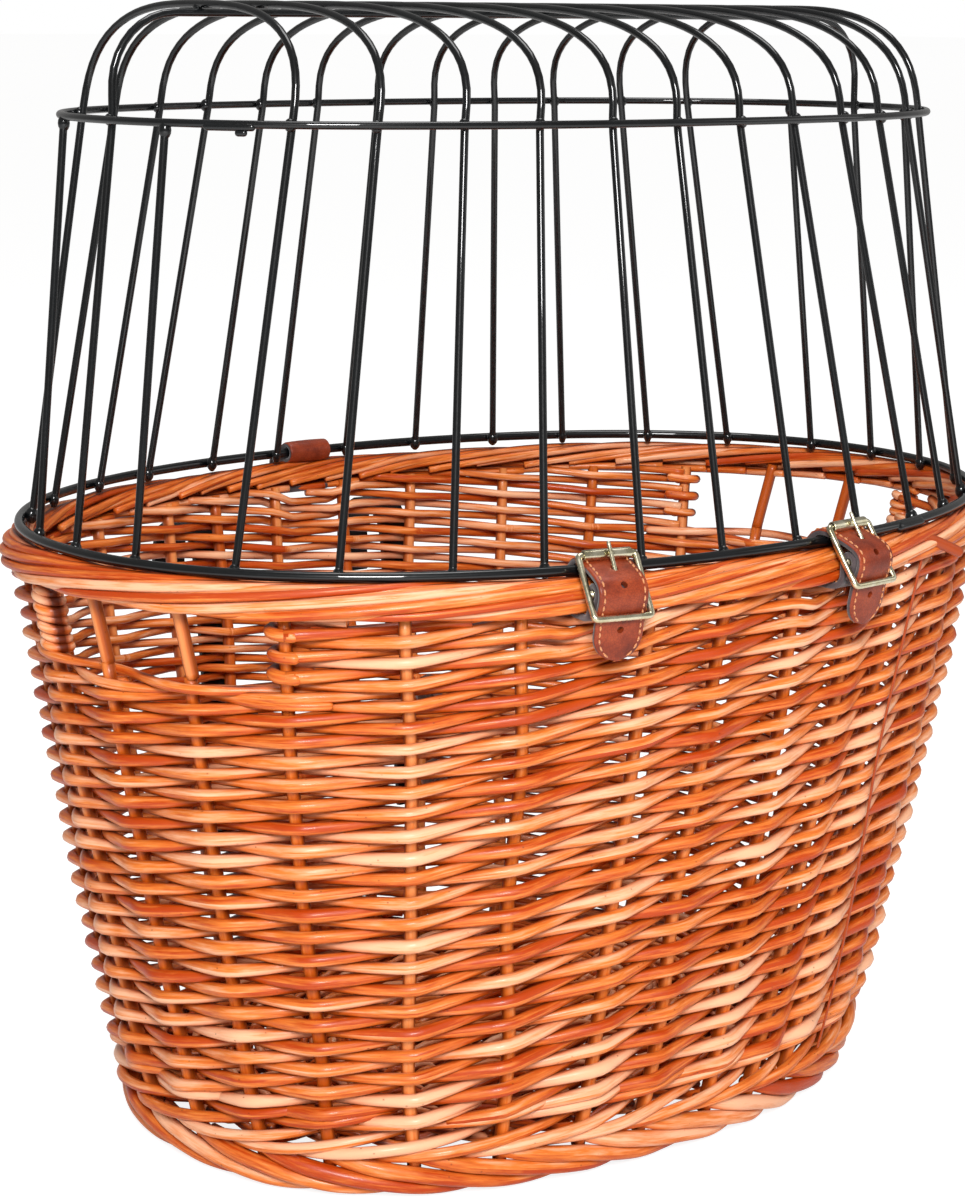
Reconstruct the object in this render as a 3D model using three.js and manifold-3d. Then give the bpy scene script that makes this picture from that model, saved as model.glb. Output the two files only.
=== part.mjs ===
import * as THREE from 'three';
import { mergeVertices } from 'three/addons/utils/BufferGeometryUtils.js';
import Module from 'manifold-3d';

const wasm = await Module();
wasm.setup();

// Dog bicycle basket: a flared wicker basket under a wire cage that hinges at the back.
// Millimetres, +Z up, the length along X and the buckled front towards -Y.

// Fits shared by the whole part
const restGap = 0.3;
const looseGap = 0.5;
const aroundCount = 72;

// Outline of the wall, at the middle of its thickness
const rimHalfLength = 215;
const rimHalfWidth = 152.9;
const rimOvalPower = 2.14;
const endFlare = 60.6;
const sideFlare = 42.4;
const footOvalPower = 2.36;
const footSetBack = 11.3;
const flarePower = 0.81;
const ringHeight = 257;

// Wicker bands, from the ground up
const footBorderHeight = 20;
const footBorderThickness = 12.6;
const walingHeight = 21.7;
const walingThickness = 13.4;
const wallThickness = 12.6;
const weaveRelief = 4.2;
const weaveLevels = 42;
const stakeCount = 28;
const floorThickness = 8;
const floorRelief = 2.6;
const floorRings = 10;
const spineHalfLength = 56;
const spineHalfWidth = 10;

// Rim border, placed from the middle of the cage ring
const borderTopDrop = 2.4;
const borderHeight = 12.4;
const borderThickness = 14.4;
const borderReach = 8.3;
const borderOvalPower = 2.2;
const borderSides = 8;

// Windows in the two ends, left open between bare stakes
const windowHeight = 28;
const windowNearSide = 84;
const windowFarSide = 24;
const stakeRadius = 2.5;
const stakeSides = 8;
const firstStakePlace = 15;
const secondStakePlace = 56;

// Cage of welded wire
const baseWireRadius = 2;
const baseWireSides = 8;
const wireRadius = 1.5;
const wireSides = 6;
const weldRoom = 0.6;
const upperRingRise = 158;
const upperEndInset = 19.5;
const upperSideInset = 32.7;
const upperOvalPower = 2.27;
const upperSetBack = 2.9;
const hoopFootShares = [0.0902, 0.2651, 0.4493, 0.6014, 0.766, 0.8912];
const hoopTopShares = [0.0824, 0.2379, 0.3969, 0.5453, 0.6982, 0.8302];
const hoopRise = 42;
const hoopArchPower = 2.8;
const hoopArchSteps = 7;
const ridgeCornerRadius = 27;
const cornerSteps = 5;
const footPoke = 2.1;
const endBarFootPlace = 35.9;
const endBarTopPlace = 35.7;

// Leather straps
const leatherThickness = 2.3;
const borderGap = 0.8;
const strapWidth = 20;
const hingeStrapWidth = 22;
const slotSideRoom = 0.6;
const slotHeight = 4.4;
const leftStrapPlace = -76.8;
const rightStrapPlace = 38.2;
const strapCornerRadius = 4.9;
const hingeCornerRadius = 3;
const insideLegTopDrop = 5;
const shortLegDrop = 13.5;
const shortLegIn = 2.6;
const foldEndShare = 0.05;

// Buckles, placed outwards and upwards from the cage ring
const barRadius = 1.3;
const barSides = 8;
const topBarOut = 4.6;
const topBarUp = 6;
const middleBarDrop = 6.5;
const bottomBarOut = 18.9;
const bottomBarDrop = 14.7;
const rollerWall = 0.5;
const prongRadius = 1;
const prongTipRadius = 0.7;
const prongOverhang = 3;
const prongRingWall = 1.4;
const prongRingLength = 3.4;
const prongHoleRoom = 0.4;

// Buckled tongues
const tongueTipOut = 12.5;
const tongueTipDrop = 31.5;
const tongueFoldStartAngle = 1.1;
const tongueFoldEndAngle = -0.15;
const tongueSteps = 26;
const holeRadius = 1.5;
const firstHoleDrop = 4;
const holeSpacing = 15;
const holeSides = 10;

// Handlebar hooks on the back
const hookPlace = 52;
const hookWidth = 16;
const hookThickness = 2.5;
const hookWallRoom = 0.6;
const hookBendDrop = 45;
const hookStripLength = 127;
const handlebarRoom = 16;
const hookLipLength = 20;
const hookArcSteps = 7;
const hookSearchSteps = 400;
const firstBoltRise = 15;
const boltSpacing = 40;
const boltRadius = 2.5;
const boltSides = 12;
const boltHeadRadius = 4.4;
const boltHeadSink = 0.2;
const boltTail = 2;
const washerRadius = 8;
const washerThickness = 1.2;
const slantRoom = 4.4;
const nutRadius = 4.6;
const nutHeight = 4;

// Sizes that follow from the ones above
const wallBottom = footBorderHeight + restGap + walingHeight + restGap;
const borderBottomDrop = borderTopDrop + borderHeight;
const borderInnerReach = borderThickness - borderReach;
const wallTop = ringHeight - borderBottomDrop - restGap;
const upperRingHeight = ringHeight + upperRingRise;
const hookBendHeight = ringHeight - hookBendDrop;
const hookBottomHeight = hookBendHeight - hookStripLength;
const boltRises = [firstBoltRise, firstBoltRise + boltSpacing];
const halfLeather = leatherThickness / 2;
const foldRadius = barRadius + restGap + halfLeather;
const outsideLeg = borderReach + borderGap + halfLeather;
const insideLeg = borderInnerReach + borderGap + halfLeather;
const middleBarOut = outsideLeg + foldRadius;
const slotLegDrop = borderBottomDrop + borderGap + halfLeather;
const hingeWrapRadius = baseWireRadius + looseGap + halfLeather;
const rollerBore = barRadius + restGap;
const rollerRadius = rollerBore + rollerWall;
const railPlace = strapWidth / 2 + restGap + barRadius;

const rimOutline = {
  halfLength: rimHalfLength,
  halfWidth: rimHalfWidth,
  ovalPower: rimOvalPower,
  setBack: 0,
};

const upperOutline = {
  halfLength: rimHalfLength - upperEndInset,
  halfWidth: rimHalfWidth - upperSideInset,
  ovalPower: upperOvalPower,
  setBack: upperSetBack,
};

// Looks
const willow = { color: 0xc9652c, roughness: 0.4, metalness: 0 };
const darkWillow = { color: 0xb4521f, roughness: 0.42, metalness: 0 };
const blackWire = { color: 0x14171a, roughness: 0.3, metalness: 0.6 };
const leather = { color: 0x8a3420, roughness: 0.5, metalness: 0 };
const brass = { color: 0xcbbd84, roughness: 0.28, metalness: 1 };
const blackSteel = { color: 0x1b1c1e, roughness: 0.45, metalness: 0.7 };
const plainSteel = { color: 0xa9acb0, roughness: 0.35, metalness: 1 };

function makeMesh(name, geometry, look) {
  const mesh = new THREE.Mesh(geometry, new THREE.MeshStandardMaterial(look));
  mesh.name = name;
  return mesh;
}

function signedPower(value, power) {
  return Math.sign(value) * Math.abs(value) ** power;
}

// Rounded-oblong outlines
function wallOutline(height) {
  const share = (height / ringHeight) ** flarePower;
  return {
    halfLength: rimHalfLength - endFlare * (1 - share),
    halfWidth: rimHalfWidth - sideFlare * (1 - share),
    ovalPower: THREE.MathUtils.lerp(footOvalPower, rimOvalPower, share),
    setBack: THREE.MathUtils.lerp(footSetBack, 0, share),
  };
}

function outlineNormal(outline, angle) {
  const power = 2 - 2 / outline.ovalPower;
  const x = signedPower(Math.cos(angle), power) / outline.halfLength;
  const y = signedPower(Math.sin(angle), power) / outline.halfWidth;
  return new THREE.Vector3(x, y, 0).normalize();
}

function outlinePoint(outline, angle, height, outward) {
  const power = 2 / outline.ovalPower;
  const x = outline.halfLength * signedPower(Math.cos(angle), power);
  const y = outline.halfWidth * signedPower(Math.sin(angle), power) + outline.setBack;
  const normal = outlineNormal(outline, angle);
  return new THREE.Vector3(x, y, height).addScaledVector(normal, outward);
}

function angleAtLength(outline, place, side) {
  const cosine = signedPower(place / outline.halfLength, outline.ovalPower / 2);
  return side * Math.acos(cosine);
}

function angleAtWidth(outline, place, side) {
  const sine = signedPower(place / outline.halfWidth, outline.ovalPower / 2);
  const angle = Math.asin(sine);
  return side > 0 ? angle : Math.PI - angle;
}

// Closed bodies built from rows of points
function signedVolume(positions, index) {
  const a = new THREE.Vector3();
  const b = new THREE.Vector3();
  const c = new THREE.Vector3();
  let volume = 0;
  for (let i = 0; i < index.length; i += 3) {
    a.fromArray(positions, index[i] * 3);
    b.fromArray(positions, index[i + 1] * 3);
    c.fromArray(positions, index[i + 2] * 3);
    volume += a.dot(b.cross(c)) / 6;
  }
  return volume;
}

function bodyFromRows(rows, rowsClose) {
  const sides = rows[0].length;
  const positions = rows.flat().flatMap((point) => point.toArray());
  const index = [];
  const spans = rowsClose ? rows.length : rows.length - 1;
  for (let row = 0; row < spans; row += 1) {
    const here = row * sides;
    const there = ((row + 1) % rows.length) * sides;
    for (let side = 0; side < sides; side += 1) {
      const next = (side + 1) % sides;
      index.push(here + side, there + side, there + next);
      index.push(here + side, there + next, here + next);
    }
  }
  if (!rowsClose) {
    const last = (rows.length - 1) * sides;
    for (let side = 1; side < sides - 1; side += 1) {
      index.push(0, side, side + 1);
      index.push(last, last + side + 1, last + side);
    }
  }
  if (signedVolume(positions, index) < 0) {
    index.reverse();
  }
  const geometry = new THREE.BufferGeometry();
  geometry.setAttribute('position', new THREE.Float32BufferAttribute(positions, 3));
  geometry.setIndex(index);
  geometry.computeVertexNormals();
  return geometry;
}

// A band round the basket: each profile point is a height and an outward offset from the wall
function bandBody(profile, outlineAt) {
  const rows = [];
  for (let step = 0; step < aroundCount; step += 1) {
    const angle = (step / aroundCount) * 2 * Math.PI;
    rows.push(profile.map(([height, outward]) => (
      outlinePoint(outlineAt(height), angle, height, outward)
    )));
  }
  return bodyFromRows(rows, true);
}

function roundProfile(radius, height, sides) {
  const profile = [];
  for (let side = 0; side < sides; side += 1) {
    const angle = (side / sides) * 2 * Math.PI;
    profile.push([height + radius * Math.sin(angle), radius * Math.cos(angle)]);
  }
  return profile;
}

// Joining and cutting
function toSolid(geometry) {
  const bare = geometry.clone();
  bare.deleteAttribute('normal');
  bare.deleteAttribute('uv');
  const merged = mergeVertices(bare);
  return new wasm.Manifold(new wasm.Mesh({
    numProp: 3,
    vertProperties: merged.attributes.position.array,
    triVerts: new Uint32Array(merged.index.array),
  }));
}

function toGeometry(solid) {
  const mesh = solid.getMesh();
  const geometry = new THREE.BufferGeometry();
  geometry.setAttribute('position', new THREE.Float32BufferAttribute(mesh.vertProperties, 3));
  geometry.setIndex(new THREE.Uint32BufferAttribute(mesh.triVerts, 1));
  geometry.computeVertexNormals();
  return geometry;
}

function cutAway(geometry, cutters) {
  let solid = toSolid(geometry);
  for (const cutter of cutters) {
    solid = solid.subtract(toSolid(cutter));
  }
  return toGeometry(solid);
}

function joinUp(geometries) {
  let solid = toSolid(geometries[0]);
  for (const geometry of geometries.slice(1)) {
    solid = solid.add(toSolid(geometry));
  }
  return toGeometry(solid);
}

// A wire through given points, each bend cut at its own half angle
class WirePath extends THREE.Curve {
  constructor(points) {
    super();
    this.points = points;
  }

  getPoint(t) {
    const place = t * (this.points.length - 1);
    const first = Math.min(Math.floor(place), this.points.length - 2);
    return this.points[first].clone().lerp(this.points[first + 1], place - first);
  }

  getPointAt(t) {
    return this.getPoint(t);
  }

  getTangentAt(t) {
    const here = Math.round(t * (this.points.length - 1));
    const before = Math.max(here - 1, 0);
    const after = Math.min(here + 1, this.points.length - 1);
    const arriving = this.points[here].clone().sub(this.points[before]).normalize();
    const leaving = this.points[after].clone().sub(this.points[here]).normalize();
    return arriving.add(leaving).normalize();
  }
}

function polygonShape(radius, sides) {
  const corners = [];
  for (let side = 0; side < sides; side += 1) {
    const angle = (side / sides) * 2 * Math.PI;
    corners.push(new THREE.Vector2(radius * Math.cos(angle), radius * Math.sin(angle)));
  }
  return new THREE.Shape(corners);
}

function wireBody(points, radius, sides) {
  return new THREE.ExtrudeGeometry(polygonShape(radius, sides), {
    steps: points.length - 1,
    extrudePath: new WirePath(points),
  });
}

// Flat stock bent along a side view, drawn outwards and upwards, then given its width
function sideNormals(points) {
  return points.map((point, place) => {
    const before = points[Math.max(place - 1, 0)];
    const after = points[Math.min(place + 1, points.length - 1)];
    const arriving = point.clone().sub(before).normalize();
    const leaving = after.clone().sub(point).normalize();
    const along = arriving.clone().add(leaving).normalize();
    const straight = arriving.lengthSq() > 0 ? arriving : leaving;
    return new THREE.Vector2(-along.y, along.x).divideScalar(along.dot(straight));
  });
}

function distinctPoints(points) {
  return points.filter((point, place) => (
    place === 0 || point.distanceTo(points[place - 1]) > restGap / 10
  ));
}

function ribbonShape(points, thickness) {
  const line = distinctPoints(points);
  const normals = sideNormals(line);
  const half = thickness / 2;
  const left = line.map((point, place) => point.clone().addScaledVector(normals[place], half));
  const right = line.map((point, place) => point.clone().addScaledVector(normals[place], -half));
  return new THREE.Shape([...left, ...right.reverse()]);
}

function placeSideView(geometry) {
  const turn = new THREE.Matrix4().makeBasis(
    new THREE.Vector3(0, 1, 0),
    new THREE.Vector3(0, 0, 1),
    new THREE.Vector3(1, 0, 0),
  );
  return geometry.applyMatrix4(turn);
}

function acrossBody(shape, width) {
  const geometry = new THREE.ExtrudeGeometry(shape, { depth: width, bevelEnabled: false });
  geometry.translate(0, 0, -width / 2);
  return placeSideView(geometry);
}

// Frames that stand on the cage ring: local +Y points outwards and +Z up
function ringFrame(angle) {
  const normal = outlineNormal(rimOutline, angle);
  const frame = new THREE.Group();
  frame.position.copy(outlinePoint(rimOutline, angle, ringHeight, 0));
  frame.rotation.z = Math.atan2(-normal.x, normal.y);
  frame.updateMatrixWorld();
  return frame;
}

const hingeFrame = ringFrame(Math.PI / 2);
const strapFrames = {
  left: ringFrame(angleAtLength(rimOutline, leftStrapPlace, -1)),
  right: ringFrame(angleAtLength(rimOutline, rightStrapPlace, -1)),
};

// Both hooks face straight back, so that one straight bar fits them
function hookFrame(place) {
  const frame = ringFrame(angleAtLength(rimOutline, place, 1));
  frame.rotation.z = 0;
  frame.updateMatrixWorld();
  return frame;
}

const hookFrames = { left: hookFrame(-hookPlace), right: hookFrame(hookPlace) };

// Handlebar hooks: a strip up the back of the wall, bent over the bar
function wallReach(frame, height) {
  const angle = Math.atan2(frame.position.y, frame.position.x);
  let furthest = -Infinity;
  for (let step = -hookSearchSteps; step <= hookSearchSteps; step += 1) {
    const near = angle + (step / hookSearchSteps) * (Math.PI / 4);
    const place = outlinePoint(wallOutline(height), near, height, wallThickness / 2);
    const local = frame.worldToLocal(place);
    if (Math.abs(local.x) < hookWidth / 2) {
      furthest = Math.max(furthest, local.y);
    }
  }
  return furthest;
}

function hookLine(frame) {
  const out = hookWallRoom + hookThickness / 2;
  const foot = new THREE.Vector2(
    wallReach(frame, hookBottomHeight) + out,
    hookBottomHeight - ringHeight,
  );
  const bend = new THREE.Vector2(
    wallReach(frame, hookBendHeight) + out,
    hookBendHeight - ringHeight,
  );
  return { foot, bend };
}

function hookBody(frame) {
  const { foot, bend } = hookLine(frame);
  const radius = handlebarRoom + hookThickness / 2;
  const lean = Math.atan2(bend.x - foot.x, bend.y - foot.y);
  const middle = new THREE.Vector2(
    bend.x + radius * Math.cos(lean),
    bend.y - radius * Math.sin(lean),
  );
  const points = [foot];
  for (let step = 0; step <= hookArcSteps; step += 1) {
    const angle = Math.PI - lean - (step / hookArcSteps) * (Math.PI - lean);
    points.push(new THREE.Vector2(
      middle.x + radius * Math.cos(angle),
      middle.y + radius * Math.sin(angle),
    ));
  }
  points.push(new THREE.Vector2(middle.x + radius, middle.y - hookLipLength));
  const strip = acrossBody(ribbonShape(points, hookThickness), hookWidth);
  return cutAway(strip, boltRises.map((rise) => (
    makeBoltHole().applyMatrix4(boltPlace(frame, rise))
  )));
}

function boltPlace(frame, rise) {
  const { foot, bend } = hookLine(frame);
  const along = bend.clone().sub(foot);
  const place = foot.clone().addScaledVector(along, rise / hookStripLength);
  const lean = Math.atan2(along.x, along.y);
  const local = new THREE.Matrix4().makeRotationX(-lean);
  return local.setPosition(0, place.x, place.y);
}

function boltMatrix(frame, rise) {
  return frame.matrixWorld.clone().multiply(boltPlace(frame, rise));
}

// Lathe work round a bolt, its depth counted inwards from the middle of the strip
function inwardTurning(profile) {
  const points = profile.map(([radius, depth]) => new THREE.Vector2(radius, depth));
  const geometry = new THREE.LatheGeometry(points, boltSides);
  return geometry.rotateX(Math.PI);
}

function boltSet(makeOne) {
  const copies = {};
  for (const [side, frame] of Object.entries(hookFrames)) {
    boltRises.forEach((rise, place) => {
      copies[`${side}_${place + 1}`] = makeOne().applyMatrix4(boltMatrix(frame, rise));
    });
  }
  return copies;
}

const washerDepth = hookThickness / 2 + hookWallRoom + wallThickness + slantRoom;
const nutDepth = washerDepth + washerThickness + restGap;
const boltEnd = nutDepth + nutHeight + boltTail;
const stripFace = -hookThickness / 2;

// A countersunk bolt, so that the strip's back face stays flat
function makeBolt() {
  const headFace = stripFace + boltHeadSink;
  return inwardTurning([
    [0, headFace],
    [boltHeadRadius, headFace],
    [boltRadius, headFace + boltHeadRadius - boltRadius],
    [boltRadius, boltEnd],
    [0, boltEnd],
  ]);
}

function makeBoltHole() {
  const headFace = stripFace + boltHeadSink;
  return inwardTurning([
    [0, stripFace - restGap],
    [boltHeadRadius + restGap, stripFace - restGap],
    [boltHeadRadius + restGap, headFace],
    [boltRadius + restGap, headFace + boltHeadRadius - boltRadius],
    [boltRadius + restGap, boltEnd],
    [0, boltEnd],
  ]);
}

function makeWasher() {
  const bore = boltRadius + restGap;
  return inwardTurning([
    [bore, washerDepth],
    [washerRadius, washerDepth],
    [washerRadius, washerDepth + washerThickness],
    [bore, washerDepth + washerThickness],
    [bore, washerDepth],
  ]);
}

function makeNut() {
  const shape = polygonShape(nutRadius, 6);
  shape.holes.push(new THREE.Path(polygonShape(boltRadius + restGap, boltSides).getPoints()));
  const nut = new THREE.ExtrudeGeometry(shape, { depth: nutHeight, bevelEnabled: false });
  nut.rotateX(Math.PI / 2);
  return nut.translate(0, -nutDepth, 0);
}

// Wicker body
function makeFootBorder() {
  const half = footBorderThickness / 2;
  return bandBody([
    [0, half],
    [footBorderHeight, half],
    [footBorderHeight, -half],
    [0, -half],
  ], wallOutline);
}

function makeWaling() {
  const bottom = footBorderHeight + restGap;
  const inner = wallThickness / 2;
  const outer = walingThickness - inner;
  return bandBody([
    [bottom, outer],
    [bottom + walingHeight, outer],
    [bottom + walingHeight, -inner],
    [bottom, -inner],
  ], wallOutline);
}

// From 1, where a weaver passes in front of a stake, to -1, where it passes behind
function weaveSwing(column, level) {
  return Math.cos((column / 2 + level) * Math.PI);
}

function wovenRows(levels, placeAt) {
  const rows = [];
  for (let column = 0; column < 2 * stakeCount; column += 1) {
    const angle = (column / (2 * stakeCount)) * 2 * Math.PI;
    const front = [];
    const back = [];
    for (let level = 0; level <= levels; level += 1) {
      const sunk = (1 - weaveSwing(column, level)) / 2;
      front.push(placeAt(angle, level / levels, sunk, 1));
      back.push(placeAt(angle, level / levels, 1 - sunk, -1));
    }
    rows.push([...front, ...back.reverse()]);
  }
  return rows;
}

// Rings of weave from the wall in to a spine along the middle
function makeFloor() {
  const bottom = footBorderHeight + restGap;
  const outline = wallOutline(bottom);
  const inset = -wallThickness / 2 - restGap;
  const half = floorThickness / 2;
  const rows = wovenRows(floorRings, (angle, share, sunk, face) => {
    const edge = outlinePoint(outline, angle, bottom + half, inset);
    const spine = new THREE.Vector3(
      spineHalfLength * Math.cos(angle),
      outline.setBack + (spineHalfWidth / 2) * Math.sin(angle),
      bottom + half,
    );
    const place = edge.lerp(spine, share);
    place.z += face * (half - floorRelief * sunk);
    return place;
  });
  const corners = [];
  for (let step = 0; step < aroundCount; step += 1) {
    const angle = (step / aroundCount) * 2 * Math.PI;
    const x = (spineHalfLength + spineHalfWidth / 2) * Math.cos(angle);
    corners.push(new THREE.Vector2(x, outline.setBack + spineHalfWidth * Math.sin(angle)));
  }
  const bar = new THREE.ExtrudeGeometry(new THREE.Shape(corners), { depth: floorThickness, bevelEnabled: false });
  return joinUp([bodyFromRows(rows, true), bar.translate(0, 0, bottom)]);
}

function makeRimBorder() {
  const middleHeight = ringHeight - borderTopDrop - borderHeight / 2;
  const middleOut = borderReach - borderThickness / 2;
  const profile = [];
  for (let side = 0; side < borderSides; side += 1) {
    const angle = ((side + 1 / 2) / borderSides) * 2 * Math.PI;
    const power = 2 / borderOvalPower;
    const stretch = 1 / Math.cos(Math.PI / borderSides) ** power;
    const out = (borderThickness / 2) * stretch * signedPower(Math.cos(angle), power);
    const rise = (borderHeight / 2) * stretch * signedPower(Math.sin(angle), power);
    profile.push([middleHeight + rise, middleOut + out]);
  }
  const notchWidth = hingeStrapWidth + 2 * slotSideRoom;
  const notchDrop = hingeWrapRadius + halfLeather + borderGap;
  const notch = new THREE.BoxGeometry(notchWidth, 4 * borderThickness, 2 * notchDrop);
  return cutAway(bandBody(profile, () => rimOutline), [notch.applyMatrix4(hingeFrame.matrixWorld)]);
}

function windowCutter(side) {
  const bottom = wallTop - windowHeight;
  const deep = rimHalfLength / 2;
  const wide = windowNearSide + windowFarSide;
  const cutter = new THREE.BoxGeometry(deep, wide, 2 * windowHeight);
  const outer = rimHalfLength + wallThickness;
  return cutter.translate(
    side * (outer - deep / 2),
    (side * (windowNearSide - windowFarSide)) / 2,
    bottom + windowHeight,
  );
}

function slotCutter(frame, width) {
  const cutter = new THREE.BoxGeometry(width + 2 * slotSideRoom, 4 * wallThickness, 2 * slotHeight);
  cutter.translate(0, 0, wallTop - ringHeight);
  return cutter.applyMatrix4(frame.matrixWorld);
}

function makeWall() {
  const half = wallThickness / 2;
  const rows = wovenRows(weaveLevels, (angle, share, sunk, face) => {
    const height = THREE.MathUtils.lerp(wallBottom, wallTop, share);
    return outlinePoint(wallOutline(height), angle, height, face * (half - weaveRelief * sunk));
  });
  return cutAway(bodyFromRows(rows, true), [
    windowCutter(-1),
    windowCutter(1),
    slotCutter(hingeFrame, hingeStrapWidth),
    slotCutter(strapFrames.left, strapWidth),
    slotCutter(strapFrames.right, strapWidth),
    ...Object.values(boltSet(makeBoltHole)),
  ]);
}

function makeWindowStake(side, place) {
  const angle = angleAtWidth(rimOutline, side * place, side);
  const bottom = wallTop - windowHeight + restGap;
  const rows = [bottom, wallTop].map((height) => {
    const middle = outlinePoint(wallOutline(height), angle, height, 0);
    const row = [];
    for (let corner = 0; corner < stakeSides; corner += 1) {
      const turn = (corner / stakeSides) * 2 * Math.PI;
      row.push(new THREE.Vector3(
        middle.x + stakeRadius * Math.cos(turn),
        middle.y + stakeRadius * Math.sin(turn),
        height,
      ));
    }
    return row;
  });
  return bodyFromRows(rows, false);
}

// Wire cage
const footInset = -(baseWireRadius + wireRadius + weldRoom);
const upperInset = -(2 * wireRadius + weldRoom);
const footHeight = ringHeight - footPoke;
const hoopTopHeight = upperRingHeight + hoopRise;

// One leg of a hoop and its half of the arch, which leans on at the slope of the leg
function hoopHalf(foot, upper, lastStep) {
  const points = [foot, upper];
  const leanRate = (upper.x - foot.x) / (upper.z - foot.z);
  const power = 2 / hoopArchPower;
  for (let step = 1; step <= lastStep; step += 1) {
    const turn = (step / hoopArchSteps) * (Math.PI / 2);
    const rise = hoopRise * Math.sin(turn) ** power;
    const spread = (upper.y - upperSetBack) * Math.cos(turn) ** power;
    points.push(new THREE.Vector3(upper.x + leanRate * rise, upperSetBack + spread, upper.z + rise));
  }
  return points;
}

function makeHoop(side, place) {
  const footPlace = side * hoopFootShares[place] * rimOutline.halfLength;
  const upperPlace = side * hoopTopShares[place] * upperOutline.halfLength;
  const halves = [-1, 1].map((facing) => {
    const footAngle = angleAtLength(rimOutline, footPlace, facing);
    const upperAngle = angleAtLength(upperOutline, upperPlace, facing);
    const foot = outlinePoint(rimOutline, footAngle, footHeight, footInset);
    const upper = outlinePoint(upperOutline, upperAngle, upperRingHeight, upperInset);
    return hoopHalf(foot, upper, facing < 0 ? hoopArchSteps : hoopArchSteps - 1);
  });
  return wireBody([...halves[0], ...halves[1].reverse()], wireRadius, wireSides);
}

function makeRidge() {
  const cornerHeight = hoopTopHeight - 2 * wireRadius - restGap - ridgeCornerRadius;
  const halves = [Math.PI, 0].map((angle) => {
    const foot = outlinePoint(rimOutline, angle, footHeight, footInset);
    const upper = outlinePoint(upperOutline, angle, upperRingHeight, upperInset);
    const points = [foot, new THREE.Vector3(upper.x, foot.y, upper.z)];
    const cornerPlace = upper.x - Math.sign(upper.x) * ridgeCornerRadius;
    for (let step = 0; step <= cornerSteps; step += 1) {
      const turn = (step / cornerSteps) * (Math.PI / 2);
      const x = cornerPlace + Math.sign(upper.x) * ridgeCornerRadius * Math.cos(turn);
      const z = cornerHeight + ridgeCornerRadius * Math.sin(turn);
      points.push(new THREE.Vector3(x, foot.y, z));
    }
    return points;
  });
  return wireBody([...halves[0], ...halves[1].reverse()], wireRadius, wireSides);
}

function makeEndBar(side, facing) {
  const footAngle = angleAtWidth(rimOutline, facing * endBarFootPlace, side);
  const topAngle = angleAtWidth(upperOutline, facing * endBarTopPlace, side);
  const foot = outlinePoint(rimOutline, footAngle, footHeight, footInset);
  const topHeight = upperRingHeight - wireRadius - weldRoom;
  const top = outlinePoint(upperOutline, topAngle, topHeight, 0);
  return wireBody([foot, top], wireRadius, wireSides);
}

// Straps
function buckleStrapLine() {
  const radius = strapCornerRadius;
  const path = new THREE.Path();
  path.moveTo(-insideLeg, -insideLegTopDrop);
  path.lineTo(-insideLeg, -slotLegDrop + radius);
  path.absarc(-insideLeg + radius, -slotLegDrop + radius, radius, Math.PI, 1.5 * Math.PI, false);
  path.lineTo(outsideLeg - radius, -slotLegDrop);
  path.absarc(outsideLeg - radius, -slotLegDrop + radius, radius, -Math.PI / 2, 0, false);
  path.lineTo(outsideLeg, -middleBarDrop);
  const foldEnd = -foldEndShare * Math.PI;
  path.absarc(middleBarOut, -middleBarDrop, foldRadius, Math.PI, foldEnd, true);
  path.lineTo(middleBarOut + foldRadius - shortLegIn, -shortLegDrop);
  return path.getPoints(3);
}

function makeBuckleStrap() {
  const strap = acrossBody(ribbonShape(buckleStrapLine(), leatherThickness), strapWidth);
  const slotWidth = prongRingLength + 2 * prongHoleRoom;
  const reach = foldRadius + halfLeather + restGap;
  const slot = new THREE.BoxGeometry(slotWidth, 2 * reach, 2 * reach);
  return cutAway(strap, [slot.translate(0, middleBarOut, -middleBarDrop)]);
}

function makeHingeStrap() {
  const wrap = hingeWrapRadius;
  const layer = leatherThickness + restGap;
  const corner = new THREE.Vector2(outsideLeg - hingeCornerRadius, -wrap - hingeCornerRadius);
  const outerRadius = hingeCornerRadius + layer;
  const leave = corner.angle() + Math.acos((wrap - outerRadius) / corner.length()) - 2 * Math.PI;
  const slotCorner = new THREE.Vector2(outsideLeg + layer - strapCornerRadius, -slotLegDrop + strapCornerRadius);
  const path = new THREE.Path();
  path.moveTo(outsideLeg, slotCorner.y);
  path.absarc(corner.x, corner.y, hingeCornerRadius, 0, Math.PI / 2, false);
  path.absarc(0, 0, wrap, 1.5 * Math.PI, Math.PI / 2, true);
  path.absarc(0, 0, wrap, Math.PI / 2, leave, true);
  path.absarc(corner.x, corner.y, outerRadius, leave, 0, true);
  path.absarc(slotCorner.x, slotCorner.y, strapCornerRadius, 0, -Math.PI / 2, true);
  path.lineTo(-wallThickness / 2, -slotLegDrop);
  return acrossBody(ribbonShape(path.getPoints(3), leatherThickness), hingeStrapWidth);
}

// The prong's line, from its ring on the middle bar past the roller
function prongLine() {
  const middle = new THREE.Vector2(middleBarOut, -middleBarDrop);
  const top = new THREE.Vector2(topBarOut, topBarUp);
  const across = top.clone().sub(middle).normalize();
  const outward = new THREE.Vector2(across.y, -across.x);
  const start = middle.addScaledVector(outward, barRadius + restGap + prongRingWall / 2);
  const over = top.addScaledVector(outward, rollerRadius + restGap + prongRadius);
  const direction = over.clone().sub(start).normalize();
  const end = over.addScaledVector(direction, prongOverhang);
  return { start, end };
}

function sidePoint(point) {
  return new THREE.Vector3(0, point.x, point.y);
}

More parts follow.
